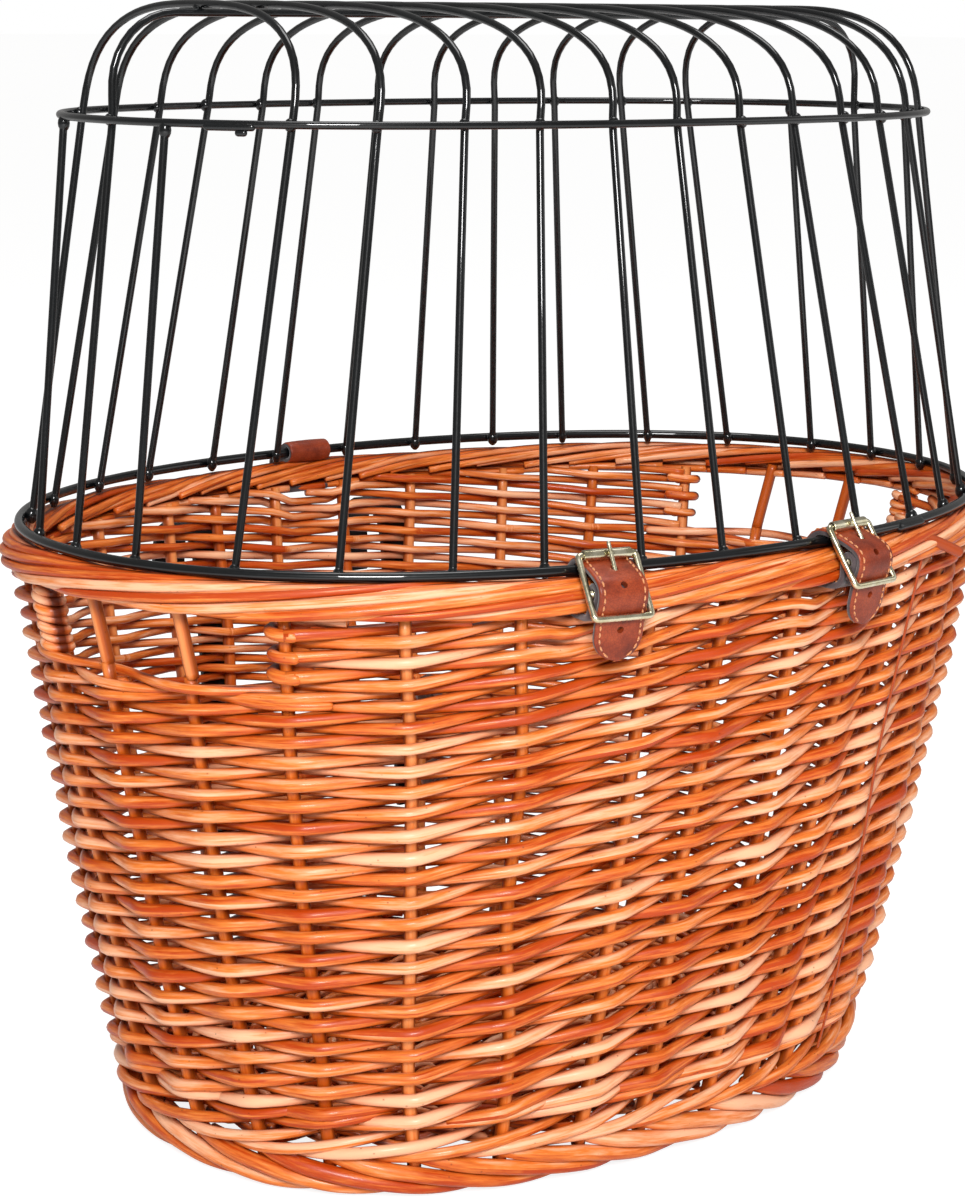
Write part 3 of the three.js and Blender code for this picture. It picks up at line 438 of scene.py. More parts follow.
weave = {
    "bottom": 39.0, "top": 240.2, "lowPitch": 9.9, "highPitch": 8.0,
    "starts": 14, "lowRadius": 2.6, "highRadius": 2.15,
    "stakeRadius": 2.6, "stakeFoot": 14, "stakeTop": 242, "stakeTaper": (1.12, 0.98),
    "steps": 10, "sides": 10, "rodStakes": 8,
    # a weaver's swing as a sum of waves, how much it swells outside and how much thinner it is behind
    "wave": {1: 0.87, 3: 0.1, 5: 0.03}, "swell": 0.05, "thinBehind": 0.16,
    # how the climb differs from stake to stake, in rows
    "climb": [0.0, 0.14, -0.04, -0.31, -0.14, 0.14, 0.04, -0.05, -0.02, 0.03, 0.02, 0.0, 0.04, -0.04,
              0.0, 0.10, -0.02, -0.20, -0.10, 0.10, 0.04, -0.05, 0.02, -0.03, 0.02, 0.04, -0.04, 0.0],
    "windowBottom": 213.9,
}
windowStakes = {
    0: "window_stake_left_1", 1: "window_stake_left_2",
    14: "window_stake_right_1", 15: "window_stake_right_2",
}
strapSpots = {"left": (-76.8, -144.76), "right": (38.2, -151.117), "hinge": (0.0, 152.9)}
# how far, how deep and how high the weave sags beside a strap
strapDip = {"near": 11, "far": 25, "depth": 3.6, "from": 214, "to": 238}


def inWindow(u, z):
    here = np.mod(u, stakeCount)
    inside = ((here > 27) | (here < 2)) | ((here > 13) & (here < 16))
    return inside & (z > weave["windowBottom"] - 1.5)


def dipUnderStraps(points):
    # the top rows sag a little where a strap goes under the border, placed to a tenth of a millimetre
    d = strapDip
    for x, y in strapSpots.values():
        away = np.hypot(points[:, 0] - x, points[:, 1] - round(y, 1) - yShift)
        near = np.clip((d["far"] - away) / (d["far"] - d["near"]), 0, 1)
        high = np.clip((points[:, 2] - d["from"]) / (d["to"] - d["from"]), 0, 1)
        points[:, 2] -= d["depth"] * near * near * (3 - 2 * near) * high
    return points


def makeStakes():
    bundle, w = newBundle(), weave
    for place in range(stakeCount):
        top = w["windowBottom"] + 2 if place in windowStakes else w["stakeTop"]
        z = np.linspace(w["stakeFoot"], top, 26)
        lean = wander(z / 60 + place * 3, 0.06, place)
        points, normals = onWall(place + lean, z, wander(z / 50 + 50, 0.5, place + 60))
        radius = w["stakeRadius"] * np.linspace(*w["stakeTaper"], len(z))
        addRod(bundle, points, radius, w["sides"], rod=rng.random(), up=(1, 0.001, 0),
               out=0 * z, normals=normals, reach=9)
    return finishBundle(bundle, "stakes", stakeWillow)


def makeWeave():
    w = weave
    rate = (w["lowPitch"] - w["highPitch"]) / (w["top"] - w["bottom"])
    lastRow = -math.log(1 - (w["top"] - w["bottom"]) * rate / w["lowPitch"]) / rate
    perStake = w["starts"] / stakeCount
    bundles = [newBundle(), newBundle()]
    total = 2 * w["starts"]
    for strand in range(total):
        # each weaver climbs from the waling to the rim in about one lap and a half
        low = -0.5 * strand / perStake
        high = (lastRow - 0.5 * strand) / perStake
        addWeaver(bundles[strand % 2], strand, low - 0.6, high + 0.4, rate, perStake)
    return [finishBundle(bundle, name, willow) for name, bundle in zip(("weaveOne", "weaveTwo"), bundles)]


def addWeaver(bundle, strand, low, high, rate, perStake):
    w = weave
    u = np.linspace(low, high, max(4, int((high - low) * w["steps"])))
    row = 0.5 * strand + perStake * u + np.interp(u, np.arange(-84, 113), np.tile(w["climb"], 8)[:197])
    seed = rng.randint(0, 99999)
    z = w["bottom"] + w["lowPitch"] * (1 - np.exp(-rate * row)) / rate
    z = z + wander(u + 150, 0.42, seed)
    share = np.clip((z - w["bottom"]) / (w["top"] - w["bottom"]), 0, 1)
    thick = (w["lowRadius"] * (1 - share) + w["highRadius"] * share) * rng.uniform(0.93, 1.07)
    thick = thick * (1 + wander(u * 0.7 + 200, 0.06, seed + 1))
    swing = w["stakeRadius"] + thick
    phase = np.pi * (u + strand)
    thick = thick * (1 + w["swell"] * np.cos(phase))
    thick = thick * (1 - w["thinBehind"] * np.clip(np.sin(turnAt(u)) + 0.3, 0, 1))
    wave = sum(part * np.cos(times * phase) for times, part in w["wave"].items())
    out = swing * wave + wander(u + 220, 0.45, seed + 2)
    points, normals = onWall(u, z, out)
    points = dipUnderStraps(points)
    # a new rod takes over behind a stake with a random tone; every other strand is also made paler, a painted
    # highlight standing for the light on alternate fronts
    tones = np.random.RandomState(seed + 3).uniform(0.05, 0.75, 60) + (0.22 if strand % 2 else 0)
    rod = tones[np.floor((u + strand + 1) / w["rodStakes"]).astype(int) % 60]
    keep = ~inWindow(u, z)
    # a rod that meets a window stops behind the last stake it passes inside
    for edge in np.flatnonzero(np.diff(keep.astype(int))):
        step = -1 if keep[edge] else 1
        i = edge if keep[edge] else edge + 1
        outside = wave[i] > 0.6 and z[i] < windowEdge["turnBelow"]
        if step == 1 and outside and round(u[i]) % stakeCount in windowEdge["turnStakes"]:
            addTurn(bundle, round(u[i]), z[i], swing[i], thick[i], rod[i])
            continue
        while 0 <= i < len(u) and wave[i] > -0.75 and keep[i]:
            keep[i] = False
            i += step
    runs = np.flatnonzero(np.diff(np.concatenate([[0], keep.astype(int), [0]])))
    for a, b in zip(runs[::2], runs[1::2]):
        if b - a < 4:
            continue
        cut = slice(a, b)
        addRod(bundle, points[cut], thick[cut], w["sides"], rod=rod[cut], up=(0, 0, 1),
               out=out[cut], normals=normals[cut])


# rods at the sides and the sill of a window, in mm and in turns round the stake
windowEdge = {
    "starts": (27, 13), "turns": 7.6, "from": 212.5, "to": 240.4, "reach": 4.3, "radius": 1.85,
    "sillRadius": 1.9, "sillSwing": 4.4, "sillDrop": 3.6, "sillPast": 0.35,
    "bendFrom": -0.5, "bendTo": 4.1, "bendClimb": 0.55, "frontLength": 9.0, "backLength": 3.5,
    "turnStakes": (2, 16), "turnBelow": 239,
}


def addTurn(bundle, place, z, swing, thick, tone):
    # a rod that comes round the edge stake of a window and goes back behind it
    e = windowEdge
    angle = np.linspace(e["bendFrom"], e["bendTo"], 26)
    centre, normals = onWall(float(place) + 0 * angle, z + e["bendClimb"] * angle, 0)
    side = np.cross(normals, (0, 0, 1))
    along = e["backLength"] * np.maximum(angle - math.pi, 0) + e["frontLength"] * np.maximum(-angle, 0)
    wide = np.where(angle < 0, 0, np.sin(angle)) * swing
    out = swing * np.cos(np.clip(angle, 0, math.pi))
    points = centre + out[:, None] * normals + (wide - along)[:, None] * side
    path, radius = roundEnds(points, thick)
    addRod(bundle, path, radius, 10, rod=tone, up=(0, 0, 1), out=padded(out), normals=padded(normals))


def addWrap(bundle, place):
    # a weaver wound round the stake at the end side of a window
    e = windowEdge
    angle = np.linspace(0, e["turns"] * 2 * math.pi, int(e["turns"] * 22))
    z = np.linspace(e["from"], e["to"], len(angle))
    z = z + 0.5 * np.sin(angle) + wander(angle / 2 + 9, 0.5, place + 40)
    tones = np.random.RandomState(place).uniform(0.1, 0.9, 12)[(angle / (2 * math.pi)).astype(int)]
    centre, normals = onWall(float(place) + 0 * z, z, 0)
    side = np.cross(normals, (0, 0, 1))
    reach = e["reach"] + wander(angle / 3, 0.55, place)
    spread = np.cos(angle)[:, None] * normals + (1.1 * np.sin(angle))[:, None] * side
    points = centre + reach[:, None] * spread
    thick = e["radius"] + wander(angle / 5 + 30, 0.25, place + 70)
    addRod(bundle, points, thick, 10, rod=tones, up=(0, 0, 1), out=reach * np.cos(angle), normals=normals)


def makeWindowEdges():
    bundle, e = newBundle(), windowEdge
    for start in e["starts"]:
        addWrap(bundle, start)
    # two rods along the bottom of each window hold the stakes
    for start in e["starts"]:
        for row, facing in ((0, 1), (1, -1)):
            u = np.linspace(start - e["sillPast"], start + 3 + e["sillPast"], 50)
            out = facing * e["sillSwing"] * np.cos(np.pi * (u - start))
            z = weave["windowBottom"] - e["sillRadius"] - e["sillDrop"] * row
            points, normals = onWall(u, z, out)
            path, radius = roundEnds(points, e["sillRadius"])
            addRod(bundle, path, radius, 10, rod=rng.random(), up=(0, 0, 1),
                   out=padded(out), normals=padded(normals))
    return finishBundle(bundle, "windowEdges", willow)


# the bare stakes lean by a part of their gap over a window's height
bareStake = {"sunk": 1.4, "top": 245, "radius": 2.55, "lean": -0.07, "leanFrom": 216, "leanOver": 28}


def makeWindowStake(place, name):
    bundle, b = newBundle(), bareStake
    z = np.linspace(weave["windowBottom"] + b["sunk"], b["top"], 14)
    lean = b["lean"] * (z - b["leanFrom"]) / b["leanOver"]
    points, normals = onWall(place + lean, z, wander(z / 20, 0.4, place))
    addRod(bundle, points, b["radius"], 12, rod=rng.random(), up=(1, 0.001, 0),
           out=0 * z, normals=normals, reach=40)
    return finishBundle(bundle, name, stakeWillow)


# waling: from each stake a rod climbs in front of two stakes, behind one and in front of one
# keys: stakes passed, place outwards, height and radius
walingRods = {"sides": 10, "keys": [
    (-0.45, -4.2, 17.0, 2.0), (0.0, -0.6, 18.2, 2.2), (0.5, 4.5, 20.2, 2.35), (1.5, 4.7, 24.6, 2.35),
    (2.0, 0.9, 27.2, 2.3), (2.5, -4.6, 29.6, 2.2), (3.0, 0.4, 32.2, 2.25), (3.5, 4.6, 34.8, 2.2),
    (4.0, 0.2, 37.4, 2.1), (4.3, -4.2, 38.8, 2.0)]}


def makeWaling():
    bundle = newBundle()
    for place in range(stakeCount):
        s = np.linspace(-0.45, 4.3, 44)
        values = smoothKeys(walingRods["keys"], s)
        out, z = values[:, 0], values[:, 1] + wander(s + place * 5, 0.5, place + 11) + 0.3
        radius = values[:, 2] * rng.uniform(0.92, 1.08)
        points, normals = onWall(place + 0.5 + s, z, out)
        addRod(bundle, points, radius, walingRods["sides"], rod=rng.random(), up=(0, 0, 1),
               out=out, normals=normals)
    return finishBundle(bundle, "waling", willow)


# foot border: from each stake a thick rod curves down to the right and tucks under the next ones
footRods = {"sides": 12, "keys": [
    (-0.1, -1.6, 20.0, 2.4), (0.05, 0.6, 18.4, 2.9), (0.4, 3.4, 15.6, 3.2), (1.0, 4.6, 11.6, 3.25),
    (1.6, 4.7, 7.8, 3.0), (2.1, 3.6, 5.0, 2.6), (2.5, 0.9, 4.0, 2.3), (2.9, -2.4, 4.8, 2.1),
    (3.4, -4.6, 7.0, 1.8)]}


def makeFootBorder():
    bundle = newBundle()
    for place in range(stakeCount):
        s = np.linspace(-0.1, 3.4, 48)
        values = smoothKeys(footRods["keys"], s)
        out = values[:, 0]
        z = values[:, 1] + rng.uniform(-0.5, 0.4)
        radius = values[:, 2] * rng.uniform(0.94, 1.06)
        z = np.maximum(z, radius + 0.05)
        points, normals = onWall(place + s, z, out)
        path, radius = roundEnds(points, radius, (True, False))
        addRod(bundle, path, radius, footRods["sides"], rod=rng.random(), up=(0, 0, 1),
               out=padded(out, 3, 0) + 3, normals=padded(normals, 3, 0), reach=10)
    return finishBundle(bundle, "footBorder", willow)


# rim border: each rod comes out behind a stake, rises over five more and tucks in behind the sixth
rimRods = {"sides": 12, "underOut": 0.66, "backDrop": 2.4, "keys": [
    (-0.2, -3.0, 243.4, 1.8), (0.4, 1.6, 243.0, 1.9), (0.9, 5.0, 243.2, 1.9), (1.8, 6.2, 246.5, 1.88),
    (2.8, 5.6, 250.3, 1.82), (3.6, 3.5, 252.7, 1.78), (4.3, -0.6, 253.0, 1.75), (5.0, -3.8, 250.6, 1.7),
    (5.8, -4.4, 246.8, 1.6)]}


def makeRimBorder():
    bundle = newBundle()
    for place in np.arange(0, stakeCount, 0.5):
        # a whole rod from each stake, and a thinner one in the groove between two
        under = place % 1 > 0
        s = np.linspace(-0.2, 5.8, 60)
        values = smoothKeys(rimRods["keys"], s)
        turn = turnAt(place + s)
        # the border lies lower and rougher along the back, where the hinge strap lifts the ring
        behind = np.clip(np.sin(turn) + 0.2, 0, 1)
        lift = rng.uniform(-0.4, 0.4)
        out = values[:, 0] * (rimRods["underOut"] if under else 1) + rng.uniform(-0.35, 0.35)
        z = values[:, 1] + lift * (1 + behind) + wander(s + place, 0.4, int(place * 2))
        z = z - rimRods["backDrop"] * behind
        radius = values[:, 2] * rng.uniform(0.9, 1.06)
        points, normals = outlinePoint(rimOutline, turn, z, out)
        tone = 0.05 + 0.7 * rng.random()
        addRod(bundle, points, radius, rimRods["sides"], rod=tone, up=(0, 0, 1),
               out=out, normals=normals, reach=8.2)
    return finishBundle(bundle, "rimBorder", willow)


# one cut rod end and a strip of loose bark at the right of the front
looseRods = [
    {"turns": (291.5, 294.5, 298.5), "heights": (251.5, 249.5, 243.0), "out": (2, 5.6, 11.5),
     "radius": 2.3, "flat": 1.0},
    {"turns": (293, 292.2, 291.5, 292.6, 293.6, 294.4, 295.4), "heights": (243, 215, 162, 127, 95, 62, 28),
     "out": (7.4, 7.9, 8.3, 8.2, 8.3, 8.4, 8.0), "radius": 0.75, "flat": 0.5},
]


def makeLooseEnds():
    bundle = newBundle()
    for rod in looseRods:
        keys = np.column_stack([np.radians(rod["turns"]), rod["heights"], rod["out"]])
        # angles count as arcs of about this radius while the line is smoothed
        arcs = (100, 1, 1)
        line = smoothLine(keys * arcs, 60) / arcs
        outline = rimOutline if rod["flat"] == 1.0 else wallOutline(line[:, 1])
        points, normals = outlinePoint(outline, line[:, 0], line[:, 1], line[:, 2])
        path, radius = roundEnds(points, rod["radius"])
        # a fixed depth gives these rods part of the painted shade colours all along, used here as their own
        # darker colour, not as shade
        addRod(bundle, path, radius, 10, rod=0.0, flat=rod["flat"],
               out=np.full(len(path), 3.4), normals=0 * path)
    return finishBundle(bundle, "looseEnds", willow)


floorWeave = {"z": 24.0, "rows": 25, "stickRadius": 2.0, "rowRadius": 1.9, "steps": 5, "sides": 8,
              "edgeHeight": 30.0, "edgeOut": -6.0, "sticksHalf": 62, "sticksGather": 0.9,
              "spineHalf": 60.0, "spineGap": 3.9, "spineY": yShift + 11}


def floorPoint(u, share, z):
    # a place on the floor, from the middle spine (share 0) out to the wall (share 1)
    f = floorWeave
    edge, _ = onWall(u, f["edgeHeight"], f["edgeOut"])
    spine = np.clip(edge[:, 0], -f["sticksHalf"], f["sticksHalf"]) * f["sticksGather"]
    x = spine + (edge[:, 0] - spine) * share
    y = f["spineY"] + (edge[:, 1] - f["spineY"]) * share
    return np.stack([x, y, z + 0 * x], -1)


def addFloorRod(bundle, path, radius, sides, lift, **more):
    normals = np.tile((0.0, 0.0, 1.0), (len(path), 1))
    addRod(bundle, path, radius, sides, rod=rng.random(), up=(0, 0, 1), out=lift, normals=normals, **more)


def makeFloor():
    bundle = newBundle()
    f = floorWeave
    for place in range(stakeCount):
        share = np.linspace(0.0, 0.99, 20)
        points = floorPoint(np.full(len(share), float(place)), share, f["z"])
        addFloorRod(bundle, points, f["stickRadius"], f["sides"], 0 * share, reach=9)
    for row in range(f["rows"]):
        share = 0.985 - row * 0.93 / f["rows"]
        u = np.arange(0, stakeCount, 1 / f["steps"])
        lift = np.cos(np.pi * (u + row)) * (f["stickRadius"] + f["rowRadius"] - 0.2)
        points = floorPoint(u, share + 0.003 * np.sin(u * 2.1 + row), f["z"] + lift)
        addFloorRod(bundle, points, f["rowRadius"], f["sides"], lift, closed=True)
    # straight rods over and under the sticks' ends along the middle
    for y in (-f["spineGap"], 0, f["spineGap"]):
        for side in (-1, 1):
            x = np.linspace(-f["spineHalf"], f["spineHalf"], 24)
            z = f["z"] + side * (f["stickRadius"] + f["rowRadius"] - 0.3)
            z = z + wander(x / 18 + 20, 0.3, int(y) + side + 9)
            line = np.column_stack([x, f["spineY"] + y + wander(x / 25 + 20, 0.3, int(y) + 30), z])
            path, radius = roundEnds(line, f["rowRadius"])
            addFloorRod(bundle, path, radius, 10, path[:, 2] - f["z"])
    return finishBundle(bundle, "floorWeave", willow)


def takeOver(node, slot, body, *pieces):
    # the pieces stand in for a CAD node and ride on its body; slot is not used
    for piece in pieces:
        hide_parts(node)
        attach(piece, body)


takeOver("basket_wall", "willow", "basket", makeStakes(), *makeWeave(), makeWindowEdges())
takeOver("waling_band", "willow", "basket", makeWaling())
takeOver("foot_border", "willow", "basket", makeFootBorder())
takeOver("rim_border", "willow", "basket", makeRimBorder(), makeLooseEnds())
takeOver("basket_floor", "willow", "basket", makeFloor())
for place, node in windowStakes.items():
    piece = makeWindowStake(place, node.replace("window_stake", "windowStake"))
    takeOver(node, "willow", "basket", piece)
print("basket woven")

# ---- wire cage
cage = {
    "baseRadius": 2.0, "wireRadius": 1.5, "upperHeight": 415.0, "hoopTop": 457.0, "corner": 27.0,
    "footHeight": 254.9, "footInset": -4.1, "upperInset": -3.6, "ridgeTop": 453.7,
    "barTop": 412.9, "barFoot": 35.9, "barHead": 35.7, "archPower": 2.8, "legPoints": 12,
    # welded laps: degrees round the ring, span, wire radius and drop
    "baseLaps": [(292, 5.0, 2.2, 0.6)], "upperLaps": [(206.3, 7.5, 1.5, 0.9), (208.3, 1.0, 1.3, 3.0)],
    "feet": [19.4, 57, 96.6, 129.3, 164.7, 191.6], "tops": [16.1, 46.5, 77.6, 106.6, 136.5, 162.3],
    # a weld's offset, size and height in sizes
    "footWeld": ((0, 0, 1.9), 2.4, 1.3),
}


def wireFoot(turn):
    # where a leg meets the base ring
    place = outlinePoint(rimOutline, np.array([turn]), cage["footHeight"], cage["footInset"])
    return place[0][0]


def wireShoulder(turn, z=cage["upperHeight"], inset=cage["upperInset"]):
    # where a leg passes the upper ring
    return outlinePoint(upperOutline, np.array([turn]), z, inset)[0][0]


def addWire(bundle, points, gap=5):
    path, radius = roundEnds(evenLine(points, gap), cage["wireRadius"])
    addRod(bundle, path, radius, 12)


def hoopHalf(foot, upper, top):
    # one leg and its half of the arch, which leans on at the slope of the leg
    lean = (upper[0] - foot[0]) / (upper[2] - foot[2])
    points = [foot + (upper - foot) * w for w in np.linspace(0, 1, cage["legPoints"])]
    power = 2 / cage["archPower"]
    middle = yShift + upperOutline[3]
    for turn in np.linspace(0, math.pi / 2, 26)[1:]:
        rise = (top - upper[2]) * math.sin(turn) ** power
        spread = (upper[1] - middle) * max(0.0, math.cos(turn)) ** power
        points.append(np.array([upper[0] + lean * rise, middle + spread, upper[2] + rise]))
    return points


def ridgeHalf(foot, upper, top):
    # one end of the ridge wire: a straight leg and a tight corner
    side = math.copysign(1, upper[0])
    points = [foot + (upper - foot) * w for w in np.linspace(0, 1, cage["legPoints"])]
    for turn in np.linspace(0, math.pi / 2, 14):
        x = upper[0] - side * cage["corner"] * (1 - math.cos(turn))
        points.append(np.array([x, foot[1], top - cage["corner"] + cage["corner"] * math.sin(turn)]))
    return points


def addWeld(bundle, centre, lift, size, tall):
    # a small blob of weld under the coating
    turn = np.linspace(-1, 1, 9) * math.pi / 2
    path = centre + np.array(lift) + np.outer(np.sin(turn) * 0.97 * size * tall, (0, 0, 1))
    addRod(bundle, path, np.maximum(np.cos(turn), 0.12) * size, 12)


def makeHoop(side, number):
    halves = []
    for facing in (-1, 1):
        foot = wireFoot(angleAtLength(rimOutline, side * cage["feet"][number], facing))
        upper = wireShoulder(angleAtLength(upperOutline, side * cage["tops"][number], facing))
        halves.append(hoopHalf(foot, upper, cage["hoopTop"]))
    bundle = newBundle()
    addWire(bundle, halves[0] + halves[1][::-1])
    for half in halves:
        foot, upper = half[0], half[cage["legPoints"] - 1]
        addWeld(bundle, foot + (half[1] - foot) * 0.02, (0, 0, 1.9), 2.3 * rng.uniform(0.9, 1.15), 1.35)
        outward = unit(upper * (1, 1, 0) - (0, yShift, 0)) * 1.3
        outward[2] = rng.uniform(-0.6, 0.4)
        addWeld(bundle, upper, outward, 2.0 * rng.uniform(0.9, 1.15), 1.2)
    top = (halves[0][-1] + halves[1][-1]) / 2
    addWeld(bundle, (top[0], top[1], cage["hoopTop"]), (0, 0, -1.2), 1.9, 1)
    return bundle


def makeRing(outline, z, radius, laps):
    bundle = newBundle()
    turn = np.linspace(0, 2 * math.pi, 241)[:-1]
    points, _ = outlinePoint(outline, turn, z, 0)
    addRod(bundle, points, radius, 14, up=(0, 0, 1), closed=True)
    for degrees, span, size, drop in laps:
        # the lap where the wire's ends are welded side by side
        part = np.radians(np.linspace(degrees - span / 2, degrees + span / 2, 12))
        path, size = roundEnds(outlinePoint(outline, part, z - drop, 0.5)[0], size)
        addRod(bundle, path, size, 12, up=(0, 0, 1))
    return bundle


def makeRidge():
    halves = []
    for turn in (math.pi, 0.0):
        foot, upper = wireFoot(turn), wireShoulder(turn)
        upper[1] = foot[1]
        halves.append(ridgeHalf(foot, upper, cage["ridgeTop"]))
    bundle = newBundle()
    addWire(bundle, halves[0] + halves[1][::-1])
    for half in halves:
        foot, upper = half[0], half[cage["legPoints"] - 1]
        addWeld(bundle, foot, *cage["footWeld"])
        addWeld(bundle, upper, (math.copysign(1.3, upper[0]), 0, 0), 2.0, 1.2)
    return bundle


def makeEndBar(side, facing):
    foot = wireFoot(angleAtWidth(rimOutline, facing * cage["barFoot"], side))
    top = wireShoulder(angleAtWidth(upperOutline, facing * cage["barHead"], side), cage["barTop"], 0)
    bundle = newBundle()
    addWire(bundle, [foot, top], 6)
    addWeld(bundle, foot, *cage["footWeld"])
    addWeld(bundle, top, (0, 0, -0.6), 2.3, 1.5)
    return bundle


def finishWire(bundle, name, node):
    takeOver(node, "cage_wire", "cage", finishBundle(bundle, name, wirePaint))


hoopCount = len(cage["feet"])
for number in range(hoopCount):
    for side, index in ((-1, hoopCount - number), (1, hoopCount + number + 1)):
        finishWire(makeHoop(side, number), "hoop%02d" % index, "hoop_%02d" % index)
baseRing = makeRing(rimOutline, ringHeight, cage["baseRadius"], cage["baseLaps"])
finishWire(baseRing, "baseRing", "base_ring")
upperRing = makeRing(upperOutline, cage["upperHeight"], cage["wireRadius"], cage["upperLaps"])
finishWire(upperRing, "upperRing", "upper_ring")
finishWire(makeRidge(), "ridgeWire", "ridge_wire")
for side, sideName in ((-1, "left"), (1, "right")):
    for facing, facingName in ((-1, "front"), (1, "back")):
        place = "_%s_%s" % (sideName, facingName)
        finishWire(makeEndBar(side, facing), "endBar" + place, "end_bar" + place)
print("cage welded")

# ---- straps, in a frame at the ring: x along it, y outwards, z up
strap = {
    "thick": 2.3, "width": 20.0, "hingeWidth": 22.0, "outside": 10.25, "inside": 8.05, "legDrop": 16.75,
    "corner": 4.9, "insideTop": 5.0, "foldRadius": 2.75, "shortDrop": 13.5, "shortIn": 2.6,
    "middle": (13.0, -6.5), "top": (4.6, 6.0), "bottom": (18.9, -14.7),
    "prongSlot": (11.0, -3.3), "slotRadius": 1.7, "slotLong": 1.3, "seamOut": 8.1, "seamEnds": (3, 18),
}
# the buckle's three bars lie at the strap's top, middle and bottom places
buckle = {
    "rail": 11.6, "bar": 1.3, "bend": 1.6, "middleBend": 2.2, "rollerRadius": 2.1, "rollerBore": 1.6,
    "rollerPlay": 0.3, "rollerEdge": 0.25, "rollerFall": 0.35,
    "eyeRadius": 2.3, "eyeWire": 0.69, "prongRadius": (1.0, 0.72), "prongOver": 3.4, "prongPast": 3.0,
}
strapTurns = {"left": 2.911662, "right": -3.041387, "hinge": 0.0}
frames = {}
for key, (x, y) in strapSpots.items():
    spot = Vector((x, y + yShift, ringHeight)) * mm
    frames[key] = Matrix.Translation(spot) @ Matrix.Rotation(strapTurns[key], 4, "Z")


def arc(cx, cy, radius, start, end, steps=9):
    return [(cx + radius * math.cos(a), cy + radius * math.sin(a)) for a in np.linspace(start, end, steps)]


def stripSection(half, thick, crown):
    # rounded edges and a soft crown on the outer face; x across, y through the thickness
    edge = thick / 2
    soft = edge * 0.55
    turns = np.linspace(-math.pi / 2, math.pi / 2, 7)
    side = [(half - soft + soft * math.cos(a), edge * math.sin(a)) for a in turns]
    face = [(x, edge + crown * (1 - (x / half) ** 2)) for x in np.linspace(half * 0.8, -half * 0.8, 7)]
    return side + face + [(-x, -y) for x, y in side] + [(-x, -edge) for x, _ in face]


def faceNormals(line):
    # out of the smooth face of a strip, in its side view
    along = unit(np.gradient(line, axis=0))
    return np.stack([-along[:, 1], along[:, 0]], -1)


def ringBody(name, rings, materials, sharp, closed=False):
    # joins rings of points into a body with its faces outwards; sharp is the angle that keeps an edge
    count, sides = len(rings), len(rings[0])
    faces = []
    for i in range(count if closed else count - 1):
        here, there = i * sides, (i + 1) % count * sides
        for k in range(sides):
            n = (k + 1) % sides
            faces.append((here + k, there + k, there + n, here + n))
    if not closed:
        faces.append(tuple(range(sides))[::-1])
        faces.append(tuple(range((count - 1) * sides, count * sides)))
    mesh = bpy.data.meshes.new(name)
    mesh.from_pydata([[c * mm for c in point] for ring in rings for point in ring], [], faces)
    for material in materials:
        mesh.materials.append(material)
    piece = bpy.data.objects.new(name, mesh)
    bpy.context.collection.objects.link(piece)
    makeActive(piece)
    bpy.ops.object.mode_set(mode="EDIT")
    bpy.ops.mesh.select_all(action="SELECT")
    bpy.ops.mesh.normals_make_consistent(inside=False)
    bpy.ops.object.mode_set(mode="OBJECT")
    bpy.ops.object.shade_smooth_by_angle(angle=math.radians(sharp))
    return piece


def makeStrip(name, line, half, thick, face, crown=0.0, tip=0.0, flip=False):
    # a leather strip along a side-view line, smooth on one side and suede on the edges and the other side
    line = np.asarray(line, float)
    normal = faceNormals(line) * (-1 if flip else 1)
    length = lengthAlong(line)
    section = stripSection(half, thick, crown)
    rings = []
    for i, (y, z) in enumerate(line):
        left = length[-1] - length[i]
        width = half
        if tip and left < tip:
            width = max(0.35, half * math.sqrt(max(0, 1 - (1 - left / tip) ** 2)))
        rings.append([(x * width / half, y + normal[i][0] * h, z + normal[i][1] * h) for x, h in section])
    piece = ringBody(name, rings, [face, suede], 40)
    sides = len(section)
    for number, polygon in enumerate(piece.data.polygons):
        k = number % sides
        top = section[k][1] > 0.3 and section[(k + 1) % sides][1] > 0.3
        polygon.material_index = 0 if top and number < (len(line) - 1) * sides else 1
    return piece


def makeActive(piece):
    bpy.ops.object.select_all(action="DESELECT")
    piece.select_set(True)
    bpy.context.view_layer.objects.active = piece


def placeInFrame(key, *pieces):
    # puts the meshes at their place and leaves the objects at the origin
    for piece in pieces:
        piece.data.transform(frames[key])
        piece.data.update()


def buckleStrapLine():
    s, r = strap, strap["corner"]
    line = [(-s["inside"], -s["insideTop"]), (-s["inside"], -9.0)]
    line += arc(-s["inside"] + r, -s["legDrop"] + r, r, math.pi, 1.5 * math.pi)
    line += arc(s["outside"] - r, -s["legDrop"] + r, r, -math.pi / 2, 0)
    line += [(s["outside"], -9.5), (s["outside"], -7.5)]
    line += arc(s["middle"][0], s["middle"][1], s["foldRadius"], math.pi, -0.157, 13)
    fold = s["middle"][0] + s["foldRadius"]
    return line + [(fold - 1.4, -10.5), (fold - s["shortIn"], -s["shortDrop"])]


def hingeLine():
    # up the inner layer, under the ring and round its inside, then over it and down into the slot
    s = strap
    wrap, corner, layer = 2.0 + 0.5 + s["thick"] / 2, 3.0, s["thick"] + 0.3
    out, up = s["outside"] - corner, -wrap - corner
    leave = math.radians(58.9)
    slotOut, slotUp = s["outside"] + layer - s["corner"], -s["legDrop"] + s["corner"]
    line = [(s["outside"], slotUp + 0.8)]
    line += arc(out, up, corner, 0, math.pi / 2)
    line += arc(0, 0, wrap, 1.5 * math.pi, leave, 21)
    line += arc(out, up, corner + layer, leave, 0)
    line += arc(slotOut, slotUp, s["corner"], 0, -math.pi / 2)
    line += [(-2.0, -s["legDrop"])]
    return line


